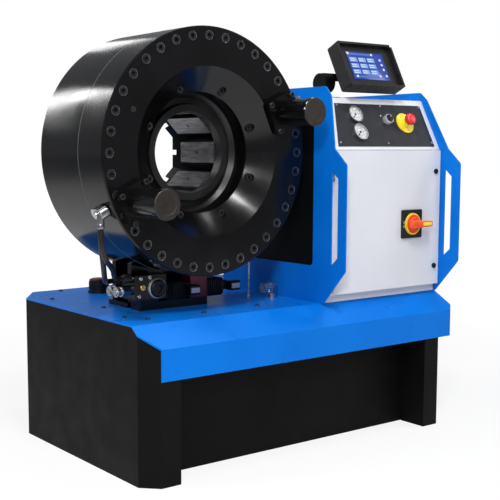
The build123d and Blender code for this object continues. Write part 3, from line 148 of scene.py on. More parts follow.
def tint(tree, shader, factor, dark, light, low=0.35, high=0.65):
    """Base colour that wanders between two close tints."""
    ramp = tree.nodes.new("ShaderNodeValToRGB")
    ramp.color_ramp.elements[0].position = low
    ramp.color_ramp.elements[0].color = (*dark, 1)
    ramp.color_ramp.elements[1].position = high
    ramp.color_ramp.elements[1].color = (*light, 1)
    tree.links.new(factor, ramp.inputs["Fac"])
    tree.links.new(ramp.outputs["Color"], shader.inputs["Base Color"])


def vary_roughness(tree, shader, factor, low, high):
    """Roughness that wanders between two values."""
    span = tree.nodes.new("ShaderNodeMapRange")
    span.inputs["From Min"].default_value = 0.3
    span.inputs["From Max"].default_value = 0.7
    span.inputs["To Min"].default_value = low
    span.inputs["To Max"].default_value = high
    tree.links.new(factor, span.inputs["Value"])
    tree.links.new(span.outputs["Result"], shader.inputs["Roughness"])


def relief(tree, shader, factor, depth, strength):
    """Bump of the given depth in metres."""
    bump = tree.nodes.new("ShaderNodeBump")
    bump.inputs["Strength"].default_value = strength
    bump.inputs["Distance"].default_value = depth
    tree.links.new(factor, bump.inputs["Height"])
    tree.links.new(bump.outputs["Normal"], shader.inputs["Normal"])


def paint(name, dark, light, rough, peel=260.0, peel_depth=0.00008, gloss=0.5):
    """Sprayed paint: broad colour drift, dust in the gloss and orange peel."""
    material, tree, shader, place = start_finish(name)
    tint(tree, shader, noise(tree, place, 3.0), dark, light)
    vary_roughness(tree, shader, noise(tree, place, 14.0, 2.0), *rough)
    relief(tree, shader, noise(tree, place, peel, 1.0), peel_depth, 0.15)
    shader.inputs["Specular IOR Level"].default_value = gloss
    return material


def plastic(name, dark, light, rough, grain=900.0, grain_depth=0.00006, gloss=0.5):
    """Moulded plastic: spark-eroded grain and handling marks."""
    material, tree, shader, place = start_finish(name)
    tint(tree, shader, noise(tree, place, 24.0, 4.0), dark, light)
    vary_roughness(tree, shader, noise(tree, place, 60.0, 5.0), *rough)
    relief(tree, shader, noise(tree, place, grain, 2.0), grain_depth, 0.4)
    shader.inputs["Specular IOR Level"].default_value = gloss
    return material


def steel(name, dark, light, rough, stretch=(1, 1, 1), scale=180.0, depth=0.00004, metallic=1.0):
    """Machined steel, with fine tool marks across the squeezed axes."""
    material, tree, shader, place = start_finish(name)
    shader.inputs["Metallic"].default_value = metallic
    marks = noise(tree, place, scale, 4.0, stretch)
    tint(tree, shader, marks, dark, light, 0.3, 0.7)
    vary_roughness(tree, shader, noise(tree, place, 30.0, 5.0, stretch), *rough)
    relief(tree, shader, marks, depth, 0.3)
    return material


# %% [markdown]
# ## Turned and blackened steel of the head
# The head is turned on a lathe and blackened, so its gloss is broken by rings round the crimping axis.
# A wave texture in rings about Y gives them, once a Mapping node has moved its centre onto the axis.
# The other finishes follow: each takes a dark tint, a light tint and the span of its roughness.

# %% Turned steel
flange_low, flange_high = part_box("front_flange")
HEAD_X = (flange_low.x + flange_high.x) / 2
HEAD_Z = (flange_low.z + flange_high.z) / 2
FACE_Y = flange_low.y
HEAD_RADIUS = (flange_high.x - flange_low.x) / 2


def turned_steel(name, dark, light, rough, metallic, ring_scale=70.0, ring_depth=0.00003, gloss=0.5):
    """Gloss black steel with fine rings round the head's axis."""
    material, tree, shader, place = start_finish(name)
    shader.inputs["Metallic"].default_value = metallic
    shader.inputs["Specular IOR Level"].default_value = gloss
    centre = tree.nodes.new("ShaderNodeMapping")
    centre.inputs["Location"].default_value = (-HEAD_X, 0, -HEAD_Z)
    tree.links.new(place, centre.inputs["Vector"])
    rings = tree.nodes.new("ShaderNodeTexWave")
    rings.wave_type = "RINGS"
    rings.rings_direction = "Y"
    rings.inputs["Scale"].default_value = ring_scale
    rings.inputs["Distortion"].default_value = 3.0
    rings.inputs["Detail"].default_value = 4.0
    rings.inputs["Detail Scale"].default_value = 0.6
    tree.links.new(centre.outputs["Vector"], rings.inputs["Vector"])
    tint(tree, shader, noise(tree, place, 6.0, 5.0), dark, light)
    vary_roughness(tree, shader, noise(tree, place, 9.0, 6.0), *rough)
    relief(tree, shader, rings.outputs["Fac"], ring_depth, 0.12)
    return material


BLACK = (0.002, 0.002, 0.0022), (0.004, 0.004, 0.0044)
head_black = turned_steel("head_black", *BLACK, (0.11, 0.19), 0.0, gloss=0.36)
die_steel = steel("die_steel", (0.10, 0.10, 0.105), (0.26, 0.26, 0.27), (0.28, 0.5),
                  stretch=(1, 0.15, 1), scale=120.0, depth=0.00008)
guide_steel = turned_steel("guide_steel", (0.010, 0.010, 0.0105), (0.028, 0.028, 0.029), (0.26, 0.4),
                           0.5, ring_scale=90.0)
screw_black = steel("screw_black", (0.012, 0.012, 0.013), (0.05, 0.05, 0.052), (0.25, 0.42), metallic=0.6)
zinc = steel("zinc", (0.34, 0.34, 0.35), (0.60, 0.60, 0.61), (0.16, 0.32))
brass = steel("brass", (0.55, 0.36, 0.10), (0.78, 0.56, 0.22), (0.2, 0.36))
blue_paint = paint("blue_paint", (0.001, 0.145, 0.600), (0.002, 0.170, 0.670), (0.26, 0.36),
                   peel_depth=0.00002, gloss=0.18)
black_paint = paint("black_paint", *BLACK, (0.48, 0.58), 420.0, 0.00006, 0.10)
white_paint = paint("white_paint", (0.66, 0.67, 0.71), (0.70, 0.71, 0.75), (0.30, 0.42))
valve_red = paint("valve_red", (0.17, 0.006, 0.012), (0.27, 0.010, 0.018), (0.3, 0.45))
motor_grey = paint("motor_grey", (0.10, 0.11, 0.12), (0.15, 0.16, 0.17), (0.4, 0.6), 500.0, 0.0003)
black_plastic = plastic("black_plastic", (0.006, 0.006, 0.0065), (0.011, 0.011, 0.0115), (0.38, 0.55),
                        gloss=0.3)
panel_black = plastic("panel_black", (0.012, 0.014, 0.018), (0.018, 0.020, 0.025), (0.35, 0.5),
                      gloss=0.25)
gloss_black = plastic("gloss_black", (0.003, 0.003, 0.0035), (0.006, 0.006, 0.0065), (0.12, 0.25),
                      gloss=0.3)
yellow_plastic = plastic("yellow_plastic", (0.80, 0.62, 0.02), (0.90, 0.72, 0.04), (0.25, 0.4))
red_plastic = plastic("red_plastic", (0.62, 0.02, 0.03), (0.75, 0.04, 0.05), (0.22, 0.36))
handle_red = plastic("handle_red", (0.72, 0.06, 0.01), (0.85, 0.10, 0.02), (0.24, 0.38))
pale_plastic = plastic("pale_plastic", (0.62, 0.63, 0.64), (0.72, 0.73, 0.74), (0.35, 0.5))
hose_black = plastic("hose_black", (0.007, 0.007, 0.0075), (0.012, 0.012, 0.013), (0.32, 0.46),
                     grain=1400.0, grain_depth=0.00005, gloss=0.35)
# bright steel: worn on the panel screws, and a painted highlight on the rims of the head's screws
worn_steel_and_highlight = steel("worn_steel_and_highlight", (0.20, 0.20, 0.205), (0.48, 0.48, 0.49), (0.24, 0.42))
phosphated = steel("phosphated", (0.012, 0.009, 0.007), (0.026, 0.021, 0.017), (0.36, 0.55),
                   metallic=0.2)
chrome = steel("chrome", (0.62, 0.62, 0.63), (0.80, 0.80, 0.81), (0.22, 0.36), metallic=0.7)
dial_white = plastic("dial_white", (0.70, 0.70, 0.69), (0.78, 0.78, 0.77), (0.3, 0.45))
print("finishes:", len(bpy.data.materials))

# %% [markdown]
# ## Glass and lit screen
# The gauges' glass lets the dial show through and only mirrors the room. The screen shines by itself,
# so its colours come from emission, and its smooth face still takes a soft reflection.

# %% Glass and screen
clear_glass, glass_tree, glass_shader, glass_place = start_finish("clear_glass")
glass_shader.inputs["Base Color"].default_value = (0.95, 0.97, 0.98, 1)
glass_shader.inputs["Transmission Weight"].default_value = 1.0
glass_shader.inputs["IOR"].default_value = 1.2
vary_roughness(glass_tree, glass_shader, noise(glass_tree, glass_place, 40.0), 0.0, 0.04)


def lit(name, colour, strength):
    """A glossy face that shines by itself."""
    material, tree, shader, place = start_finish(name)
    shader.inputs["Base Color"].default_value = (0.01, 0.012, 0.02, 1)
    shader.inputs["Emission Color"].default_value = (*colour, 1)
    shader.inputs["Emission Strength"].default_value = strength
    vary_roughness(tree, shader, noise(tree, place, 30.0, 4.0), 0.12, 0.2)
    return material


screen_blue = lit("screen_blue", (0.018, 0.055, 0.36), 1.0)
screen_tile = lit("screen_tile", (0.24, 0.40, 0.82), 1.0)
screen_band = lit("screen_band", (0.08, 0.18, 0.56), 1.0)
screen_white = lit("screen_white", (0.80, 0.86, 0.96), 0.95)

# %% Finishes of the CAD nodes
finish_of = {
    head_black: ["front_flange", "rear_housing", "rear_retainer", "return_cylinders", "valve_manifold",
                 "head_stand"],
    guide_steel: ["die_guide_ring", "piston", "return_rods"],
    die_steel: [f"master_die_{number}" for number in range(1, 9)],
    screw_black: ["flange_screws", "guide_ring_screws"],
    zinc: ["hydraulic_fittings", "door_hinges", "pressure_gauges"],
    blue_paint: ["tray_cover", "cabinet_left_plate", "cabinet_right_plate"],
    black_paint: ["base_left_side", "base_right_side", "base_front_panel", "base_rear_panel",
                  "base_floor_plate", "support_frame", "oil_tank", "left_vent_panel",
                  "cabinet_rear_panel", "display_bracket", "display_arm"],
    white_paint: ["control_cover", "front_door"],
    valve_red: ["directional_valve"],
    motor_grey: ["pump_motor", "hydraulic_pump"],
    black_plastic: ["filler_breather", "solenoids", "selector_knob", "door_latch_lower",
                    "door_latch_upper", "cable_gland", "main_switch_plate", "display_housing", "piston_seal"],
    panel_black: ["control_panel"],
    gloss_black: ["gauge_needle_upper", "gauge_needle_lower", "display_screen"],
    yellow_plastic: ["emergency_stop_collar"],
    red_plastic: ["emergency_stop_button"],
    handle_red: ["main_switch_handle"],
    pale_plastic: ["electrical_panel"],
}
for material, names in finish_of.items():
    for name in names:
        nodes[name].data.materials.clear()
        nodes[name].data.materials.append(material)
for piece in (return_hose, pressure_hose):
    piece.data.materials.append(hose_black)
# the coloured lacquer tints what it mirrors
blue_shader = blue_paint.node_tree.nodes["Principled BSDF"]
blue_shader.inputs["Specular Tint"].default_value = (0.25, 0.60, 1.0, 1)
print("nodes dressed:", sum(len(names) for names in finish_of.values()))

# %% [markdown]
# ## Tools for the small pieces
# Screws, rims and caps on a real machine are turned parts, so most pieces here start as a circle that is
# extruded ring by ring and scaled to each radius. Square ones start as a cube whose edges are bevelled.
# Each piece is modelled at the world origin, facing up, and is then settled on its place.

# %% Turning, blocks and placing
ACROSS = Vector((1, 0, 0))
MM = 0.001


def clear_selection():
    """Nothing selected, so that an operator acts on the new primitive alone."""
    bpy.ops.object.select_all(action="DESELECT")


def turned(name, profile, sides=32, smooth=35):
    """A round piece about Z, from (radius, height) pairs in millimetres; a closed profile gives a ring."""
    clear_selection()
    radius, height = profile[0]
    fill = "NOTHING" if profile[0] == profile[-1] else "NGON"
    bpy.ops.mesh.primitive_circle_add(vertices=sides, radius=radius * MM, fill_type=fill)
    piece = bpy.context.object
    piece.name = name
    bpy.ops.object.mode_set(mode="EDIT")
    bpy.ops.mesh.select_all(action="SELECT")
    bpy.ops.transform.translate(value=(0, 0, height * MM))
    for (old, low), (new, high) in zip(profile, profile[1:]):
        bpy.ops.mesh.extrude_region_move(TRANSFORM_OT_translate={"value": (0, 0, (high - low) * MM)})
        bpy.ops.transform.resize(value=(new / old, new / old, 1), center_override=(0, 0, high * MM))
    bpy.ops.mesh.select_all(action="SELECT")
    bpy.ops.mesh.remove_doubles(threshold=1e-6)
    bpy.ops.mesh.normals_make_consistent(inside=False)
    bpy.ops.object.mode_set(mode="OBJECT")
    bpy.ops.object.shade_smooth_by_angle(angle=math.radians(smooth))
    return piece


def block(name, size, edge, segments=2):
    """A block about the origin, size in millimetres, with every edge rounded."""
    clear_selection()
    bpy.ops.mesh.primitive_cube_add(size=MM)
    piece = bpy.context.object
    piece.name = name
    bpy.ops.object.mode_set(mode="EDIT")
    bpy.ops.mesh.select_all(action="SELECT")
    bpy.ops.transform.resize(value=size, center_override=(0, 0, 0))
    bpy.ops.mesh.bevel(offset=edge * MM, segments=segments, affect="EDGES")
    bpy.ops.object.mode_set(mode="OBJECT")
    bpy.ops.object.shade_smooth_by_angle(angle=math.radians(35))
    return piece


def settle(piece, place, normal=UP, up=Vector((0, 1, 0))):
    """Turns a piece so that its Z follows the normal and its Y the up direction, and moves it there."""
    across = up.cross(normal).normalized()
    turn = Matrix((across, normal.cross(across), normal)).transposed()
    piece.matrix_world = Matrix.Translation(place) @ turn.to_4x4()
    clear_selection()
    piece.select_set(True)
    bpy.context.view_layer.objects.active = piece
    bpy.ops.object.transform_apply(location=True, rotation=True, scale=True)


def spread(piece, spots):
    """Copies a piece to every (place, normal, up), each with its own mesh, and joins them into one."""
    family = [piece]
    for _ in spots[1:]:
        twin = piece.copy()
        twin.data = piece.data.copy()
        bpy.context.scene.collection.objects.link(twin)
        family.append(twin)
    for member, spot in zip(family, spots):
        settle(member, *spot)
    clear_selection()
    for member in family:
        member.select_set(True)
    bpy.context.view_layer.objects.active = piece
    bpy.ops.object.join()
    return piece


def dress(piece, material, body="machine"):
    """Gives a piece its finish and the body it moves with."""
    piece.data.materials.clear()
    piece.data.materials.append(material)
    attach(piece, body)
    return piece


# %% [markdown]
# ## Rims on the head
# A thin bright steel ring on the rim of each screw head in the face is a painted highlight of the light on
# its edge.
# A closed profile turns into a ring, so the screw's own node still shows through its middle. A low
# six-sided plug closes a threaded hole high on the left of the face.

# %% Rims of the counterbores
joint = {item["name"]: item for item in frame["record"]["behaviour"]["joints"]}
SCREW_CIRCLE = 0.358
SCREW_COUNT = 36


def on_head(radius, degrees, height):
    """A place on the head's face, at a radius, an angle and a height in front of it, in metres."""
    angle = math.radians(degrees)
    return Vector((HEAD_X + radius * math.cos(angle), FACE_Y - height, HEAD_Z + radius * math.sin(angle)))


# the bright rings are painted highlights on the edges of the screw heads
rim_profile = [(13.5, 0), (15.0, 0), (14.8, 0.5), (13.8, 0.5), (13.5, 0)]
RIM_SINK = 0.002
rim_spots = []
for k in range(SCREW_COUNT):
    rim_spots.append((on_head(SCREW_CIRCLE, 90 + 360 / SCREW_COUNT * k, -RIM_SINK), FRONT, UP))
rims = spread(turned("counterbore_rim_highlights", rim_profile, 28), rim_spots)
dress(rims, worn_steel_and_highlight)

FACE_PLUG_X, FACE_PLUG_Z = -0.605, 1.111
face_plug = turned("face_plug", [(9.5, 0), (9.5, 0.6), (8.5, 1.0), (5.5, 1.0), (5.0, 0.4)], 6, 20)
settle(face_plug, Vector((FACE_PLUG_X, FACE_Y, FACE_PLUG_Z)), FRONT, UP)
dress(face_plug, screw_black)
print("rims:", len(rim_spots))

# %% [markdown]
# ## Return cylinders
# A return cylinder stands on a square flange that four socket screws hold at its corners, and a dull
# phosphated cap closes its end. A socket screw is turned like a cup: the last steps of its profile sink
# the socket into the head. The upper cylinder also has a plug in its port.

# %% Return cylinders
CYLINDER_CIRCLE = 0.310
CYLINDER_ANGLES = (24, 208)
CORNER = 0.045
FLANGE_FRONT = 0.025
CYLINDER_END = 0.170
PORT_BACK, PORT_RISE = 0.085, 0.042
socket_screw = [(9.0, 0), (9.0, 8.4), (8.2, 9.2), (5.0, 9.2), (4.6, 8.8), (4.6, 4.0)]
corner_spots = []
cap_spots = []
for degrees in CYLINDER_ANGLES:
    angle = math.radians(degrees)
    outwards = Vector((math.cos(angle), 0, math.sin(angle)))
    sideways = Vector((-math.sin(angle), 0, math.cos(angle)))
    middle = on_head(CYLINDER_CIRCLE, degrees, 0)
    for a in (-CORNER, CORNER):
        for b in (-CORNER, CORNER):
            corner_spots.append((middle + outwards * a + sideways * b + FRONT * FLANGE_FRONT, FRONT, UP))
    cap_spots.append((middle + FRONT * CYLINDER_END, FRONT, UP))
corner_screws = spread(turned("cylinder_screws", socket_screw, 24), corner_spots)
dress(corner_screws, screw_black)
cap_profile = [(44.2, -1), (44.2, 0.8), (42.6, 2.0), (30, 2.0), (29.2, 1.4), (10, 1.4)]
end_caps = spread(turned("cylinder_end_caps", cap_profile, 64), cap_spots)
dress(end_caps, phosphated)

plug_profile = [(6.5, -3), (6.5, 1.5), (9.5, 1.5), (9.5, 8.5), (8.4, 9.6), (4.0, 9.6)]
port_plug = turned("port_plug", plug_profile, 6, 20)
upper_end = cap_spots[0][0]
settle(port_plug, upper_end - FRONT * PORT_BACK + UP * PORT_RISE, UP, ACROSS)
dress(port_plug, zinc)
print("cylinder screws:", len(corner_spots))

# %% [markdown]
# ## Seam
# The joint between the flange and the housing shows as a fine pale line round the drum, where the
# light catches both broken edges. A thin pale ring that stands a little proud of the drum paints that
# highlight.

# %% Seam between the flange and the housing
SEAM_PROUD, SEAM_ROOT = 0.3, 1
SEAM_CREST, SEAM_FOOT = 0.5, 0.8
seam_outside = HEAD_RADIUS / MM + SEAM_PROUD
seam_inside = seam_outside - SEAM_ROOT
seam_profile = [(seam_inside, -SEAM_FOOT), (seam_outside, -SEAM_CREST), (seam_outside, SEAM_CREST),
                (seam_inside, SEAM_FOOT), (seam_inside, -SEAM_FOOT)]
# a paler grey ring on the black drum: a painted highlight along the seam's broken edges
seam = turned("flange_seam_highlight", seam_profile, 192)
settle(seam, Vector((HEAD_X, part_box("rear_housing")[0].y, HEAD_Z)), FRONT, UP)
dress(seam, motor_grey)

# %% [markdown]
# ## Rear of the head
# The retainer ring behind the head is held by a circle of the same socket screws as the flanges.

# %% Rear of the head
rear_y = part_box("rear_retainer")[1].y
RETAINER_CIRCLE = 0.316
RETAINER_SCREWS = 12
retainer_spots = []
for k in range(RETAINER_SCREWS):
    place = on_head(RETAINER_CIRCLE, 360 / RETAINER_SCREWS * k, 0)
    retainer_spots.append((Vector((place.x, rear_y, place.z)), -FRONT, UP))
retainer_screws = spread(turned("retainer_screws", socket_screw, 24), retainer_spots)
dress(retainer_screws, screw_black)

# %% [markdown]
# ## Hose ends
# A hydraulic hose ends in a steel sleeve pressed onto it. The pressing leaves the sleeve a little
# narrower at both ends, which the first and last steps of its profile give.

# %% Sleeves
sleeve_profile = [(9.3, 0), (11.2, 1.5), (11.4, 3), (11.4, 12), (11.0, 14), (10.0, 16), (8.0, 16)]
SLEEVE_DROP, LOWER_BACK = 0.015, 0.010
sleeve_spots = []
for points in (return_points, pressure_points):
    sleeve_spots.append((Vector(points[0]) - UP * SLEEVE_DROP, UP, ACROSS))
sleeves = spread(turned("hose_sleeves", sleeve_profile, 32), sleeve_spots)
dress(sleeves, zinc)
lower_spots = []
for points in (return_points, pressure_points):
    lower_spots.append((Vector(points[-1]) - ACROSS * LOWER_BACK, ACROSS, UP))
lower_profile = [(9.4, 0), (11.6, 1.5), (12.4, 4), (12.4, 16), (14.0, 16), (14.0, 27), (13.0, 28.5),
                 (9, 28.5)]
lower_sleeves = spread(turned("hose_sleeves_lower", lower_profile, 32), lower_spots)
dress(lower_sleeves, screw_black)
print("sleeves:", len(sleeve_spots) + len(lower_spots))

# %% [markdown]
# ## Gauges
# A pressure gauge has a white dial with a scale, a pointer and a glass. The scale's marks are tiny
# blocks, copied round three quarters of a circle, and the numbers are text turned into a mesh.

# %% Places on the control panel
selector_place = Vector(joint["selector_turn"]["pos_m"])
PANEL_NORMAL = -Vector(joint["selector_turn"]["axis"]).normalized()
PANEL_UP = PANEL_NORMAL.cross(ACROSS)
SELECTOR_X, SELECTOR_S = 0.332, 0.111


def on_panel(x, s, height=0.0):
    """A place on the sloping panel, across from the cabinet's left side and up the slope."""
    return selector_place + ACROSS * (x - SELECTOR_X) + PANEL_UP * (s - SELECTOR_S) + PANEL_NORMAL * height


# %% Dials
gauge_places = [Vector(joint[name]["pos_m"]) for name in ("needle_upper_turn", "needle_lower_turn")]
DIAL_HEIGHT, RING_HEIGHT, PRINT_HEIGHT, GLASS_HEIGHT = 0.0031, 0.0037, 0.0038, 0.0070


def over_dials(height):
    """The spot in the middle of each dial, at a height over the pointer's pivot."""
    return [(place + PANEL_NORMAL * height, PANEL_NORMAL, PANEL_UP) for place in gauge_places]


dials = spread(turned("gauge_dials", [(26.8, 0), (26.8, 0.4), (26.2, 0.6)], 48), over_dials(DIAL_HEIGHT))
dress(dials, dial_white)

FIRST_MARK, MARK_STEP, MARK_COUNT = 225, 27, 11
MARK_CIRCLE, NUMBER_CIRCLE = 0.0225, 0.0165
NUMBER_SIZE, NUMBER_DEPTH, NUMBER_STEP = 0.0052, 0.0001, 4
mark_spots = []
number_pieces = []
for place in gauge_places:
    for k in range(MARK_COUNT):
        angle = math.radians(FIRST_MARK - MARK_STEP * k)
        ray = ACROSS * math.cos(angle) + PANEL_UP * math.sin(angle)
        mark_spots.append((place + ray * MARK_CIRCLE + PANEL_NORMAL * PRINT_HEIGHT, PANEL_NORMAL, ray))
        if k % 2 == 0:
            clear_selection()
            bpy.ops.object.text_add()
            number = bpy.context.object
            number.data.body = str(k * NUMBER_STEP)
            number.data.size = NUMBER_SIZE
            number.data.extrude = NUMBER_DEPTH
            number.data.align_x = "CENTER"
            number.data.align_y = "CENTER"
            bpy.ops.object.convert(target="MESH")
            number_place = place + ray * NUMBER_CIRCLE + PANEL_NORMAL * PRINT_HEIGHT
            settle(number, number_place, PANEL_NORMAL, PANEL_UP)
            number_pieces.append(number)
marks = spread(block("dial_marks", (0.8, 4.6, 0.3), 0.08, 1), mark_spots)
dress(marks, gloss_black)
clear_selection()
for number in number_pieces:
    number.select_set(True)
bpy.context.view_layer.objects.active = number_pieces[0]
bpy.ops.object.join()
dial_numbers = bpy.context.object
dial_numbers.name = "dial_numbers"
dress(dial_numbers, gloss_black)
ring_section = [(12.4, 0), (13.2, 0), (13.2, 0.15), (12.4, 0.15), (12.4, 0)]
dial_rings = spread(turned("dial_rings", ring_section, 48), over_dials(RING_HEIGHT))
dress(dial_rings, motor_grey)
glass_profile = [(26.9, 0), (26.9, 1.0), (26.0, 1.5)]
glasses = spread(turned("gauge_glasses", glass_profile, 48), over_dials(GLASS_HEIGHT))
dress(glasses, clear_glass)
print("dial marks:", len(mark_spots), "numbers:", len(number_pieces))

# %% [markdown]
# ## Push buttons and switches
# The selector turns inside a chromed collar. The stop button is a mushroom: its cap is wider than its
# neck, with a rounded crown, so its profile goes out, up and in again in small steps.

# %% Selector and stop button
collar_profile = [(14.8, 0.2), (17.8, 0.2), (17.8, 16), (16.6, 18), (15.2, 18), (14.8, 17.4), (14.8, 0.2)]
selector_collar = turned("selector_collar", collar_profile, 48)
settle(selector_collar, selector_place, PANEL_NORMAL, PANEL_UP)
dress(selector_collar, chrome)
selector_cap = turned("selector_cap", [(14.3, 9.5), (14.3, 19), (13.2, 20.4), (4, 20.4)], 48)
settle(selector_cap, selector_place, PANEL_NORMAL, PANEL_UP)
dress(selector_cap, gloss_black, "selector")
TICK_OUT, TICK_HEIGHT = 0.008, 0.0233
tick_ray = (ACROSS * 0.5 + PANEL_UP * 0.87).normalized()
tick_place = selector_place + tick_ray * TICK_OUT + PANEL_NORMAL * TICK_HEIGHT
selector_tick = block("selector_tick", (1.8, 9, 0.5), 0.2, 1)
settle(selector_tick, tick_place, PANEL_NORMAL, tick_ray)
dress(selector_tick, dial_white, "selector")
SELECTOR_MARKS = [(-0.021, 0.019), (0.023, 0.016)]
selector_mark_spots = [(on_panel(SELECTOR_X + across, SELECTOR_S + along), PANEL_NORMAL, PANEL_UP)
                       for across, along in SELECTOR_MARKS]
selector_marks = spread(turned("selector_marks", [(2.6, 0), (2.6, 0.3), (2.2, 0.5)], 20),
                        selector_mark_spots)
dress(selector_marks, dial_white)

STOP_X, STOP_S = 0.418, 0.101
dome = [(8.6, -18), (8.6, 22), (14, 22.4), (19, 23.6), (20.8, 26), (21, 29), (20.9, 33), (20.2, 37),
        (18.6, 40), (16, 42), (12, 43.4), (7, 43.9), (2.5, 44)]
stop_mushroom = turned("stop_mushroom", dome, 64, 60)
settle(stop_mushroom, on_panel(STOP_X, STOP_S), PANEL_NORMAL, PANEL_UP)
dress(stop_mushroom, red_plastic, "stop_button")
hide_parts("emergency_stop_button")
neck_profile = [(14.2, 4), (18.5, 4), (17.2, 6), (16.2, 10), (15.4, 15), (14.4, 17), (14.2, 17),
                (14.2, 4)]
stop_neck = turned("stop_neck", neck_profile, 48, 60)
settle(stop_neck, on_panel(STOP_X, STOP_S), PANEL_NORMAL, PANEL_UP)
dress(stop_neck, yellow_plastic)

# %% [markdown]
# ## Screws of the panel
# Six small screws hold the sloping panel. They are worn bright, and at this size a turned head with a
# sunk middle is enough.

# %% Screws of the panel
PANEL_SCREWS = [(0.116, 0.169), (0.325, 0.169), (0.523, 0.169),
                (0.074, 0.024), (0.300, 0.022), (0.523, 0.024)]
small_screw = [(4.2, -0.5), (4.2, 1.2), (3.4, 2.0), (2.0, 2.2), (1.8, 1.0)]
panel_screws = spread(turned("panel_screws", small_screw, 20),
                      [(on_panel(x, s), PANEL_NORMAL, PANEL_UP) for x, s in PANEL_SCREWS])
dress(panel_screws, worn_steel_and_highlight)

# %% [markdown]
# ## Main switch
# The switch on the door is a yellow disc with a red ring and a red lever. The disc and the ring are its
# fixed part, so they ride on the door, and only the lever turns. The lever is a rounded bar whose far
# end is drawn in, joined to a round hub.

# %% Main switch
switch_place = Vector(joint["main_switch_turn"]["pos_m"])


def on_switch(across, rise, height):
    """A place beside, above and in front of the middle of the main switch, in metres."""
    return switch_place + ACROSS * across + UP * rise + FRONT * height


disc_profile = [(38.4, 7.1), (38.4, 12.2), (37.0, 13.6), (26, 13.6), (25.4, 13.0), (24.6, 13.0)]
switch_disc = turned("switch_disc", disc_profile, 64)
settle(switch_disc, switch_place, FRONT, UP)
dress(switch_disc, yellow_plastic, "door")
inner_profile = [(11, 13.3), (33.5, 13.3), (33.0, 13.8), (11, 13.8), (11, 13.3)]
switch_inner = turned("switch_disc_inner", inner_profile, 64)
settle(switch_inner, switch_place, FRONT, UP)
dress(switch_inner, handle_red, "door")
LEVER_OUT, LEVER_HEIGHT = 0.019, 0.0325
TAPER_FROM, TAPER, TAPER_CENTRE = 0.045, (1, 0.66, 0.9), (0.053, 0, -0.010)
lever = block("switch_lever", (106, 30, 20), 4, 3)
bpy.ops.object.mode_set(mode="EDIT")
bpy.ops.mesh.select_all(action="DESELECT")
bpy.ops.object.mode_set(mode="OBJECT")
for vertex in lever.data.vertices:
    vertex.select = vertex.co.x > TAPER_FROM
bpy.ops.object.mode_set(mode="EDIT")
bpy.ops.transform.resize(value=TAPER, center_override=TAPER_CENTRE)
bpy.ops.object.mode_set(mode="OBJECT")
settle(lever, on_switch(LEVER_OUT, 0, LEVER_HEIGHT), FRONT, UP)
hub_profile = [(9.6, -20), (9.6, 14), (24, 14), (24.5, 16), (24.5, 21), (22.5, 24), (8, 24)]
lever_hub = turned("lever_hub", hub_profile, 48)
settle(lever_hub, switch_place, FRONT, UP)
clear_selection()
lever_hub.select_set(True)
lever.select_set(True)
bpy.context.view_layer.objects.active = lever
bpy.ops.object.join()
dress(lever, handle_red, "switch_handle")
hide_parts("main_switch_handle")
INLAY_OUT, INLAY_HEIGHT = 0.041, 0.0428
inlay = block("lever_inlay", (44, 11, 1.4), 0.6)
settle(inlay, on_switch(INLAY_OUT, 0, INLAY_HEIGHT), FRONT, UP)
dress(inlay, yellow_plastic, "switch_handle")
MARK_OUT, MARK_HEIGHT, MARK_RISES = -0.042, 0.0071, (-0.008, 0.006)
switch_mark_spots = [(on_switch(MARK_OUT, rise, MARK_HEIGHT), FRONT, UP) for rise in MARK_RISES]
switch_marks = spread(block("switch_marks", (2.2, 9, 0.5), 0.2, 1), switch_mark_spots)
dress(switch_marks, dial_white, "door")
print("lever vertices:", len(lever.data.vertices))

# %% [markdown]
# ## Screen
# The lit screen is a glowing blue pane with pale tiles, three by three, and round keys beside them.
# The tiles are bevelled blocks a few tenths of a millimetre thick, stacked a little above each other so
# that no two faces share a plane.

# %% Lit screen
display_pivot = Vector(joint["display_tilt"]["pos_m"])
LEAN = math.radians(27)
SCREEN_NORMAL = Vector((0, -math.cos(LEAN), math.sin(LEAN)))
SCREEN_UP = SCREEN_NORMAL.cross(ACROSS)
PIVOT_X, PIVOT_S, PIVOT_DEPTH = -0.0445, 0.084, 0.070
PANE_HEIGHT, TILE_HEIGHT, LINE_HEIGHT = 0.0014, 0.0018, 0.0020


def on_screen(x, s, height):
    """A place on the display's front, across from its middle, up from its foot and above its face."""
    return (display_pivot + ACROSS * (x - PIVOT_X) + SCREEN_UP * (s - PIVOT_S)
            + SCREEN_NORMAL * (PIVOT_DEPTH + height))


def screen_spots(places, height=TILE_HEIGHT):
    """The spots on the screen for a list of (x, s) places."""
    return [(on_screen(x, s, height), SCREEN_NORMAL, SCREEN_UP) for x, s in places]


pane = block("screen_pane", (175, 108, 0.8), 0.3)
settle(pane, *screen_spots([(-0.004, 0.086)], PANE_HEIGHT)[0])
dress(pane, screen_blue, "display")
tile_places = [(x, s) for x in (-0.066, -0.024, 0.018) for s in (0.062, 0.086, 0.110)]
tiles = spread(block("screen_tiles", (35, 17, 0.3), 0.12, 1), screen_spots(tile_places))
dress(tiles, screen_tile, "display")
band_places = [(-0.024, 0.132), (-0.024, 0.043)]
bands = spread(block("screen_bands", (120, 7, 0.3), 0.12, 1), screen_spots(band_places))
dress(bands, screen_band, "display")
LINE_SHIFT = 0.004
line_places = [(x - LINE_SHIFT, s + rise) for x, s in tile_places for rise in (-LINE_SHIFT, LINE_SHIFT)]
lines = spread(block("screen_lines", (22, 2.6, 0.3), 0.1, 1), screen_spots(line_places, LINE_HEIGHT))
dress(lines, screen_white, "display")
key_places = [(0.064, 0.113), (0.066, 0.094), (0.068, 0.075), (0.072, 0.050), (0.040, 0.048),
              (-0.072, 0.044), (0.030, 0.133), (-0.084, 0.134)]
keys = spread(turned("screen_keys", [(4.6, 0), (4.6, 0.3), (4.0, 0.45)], 24), screen_spots(key_places))
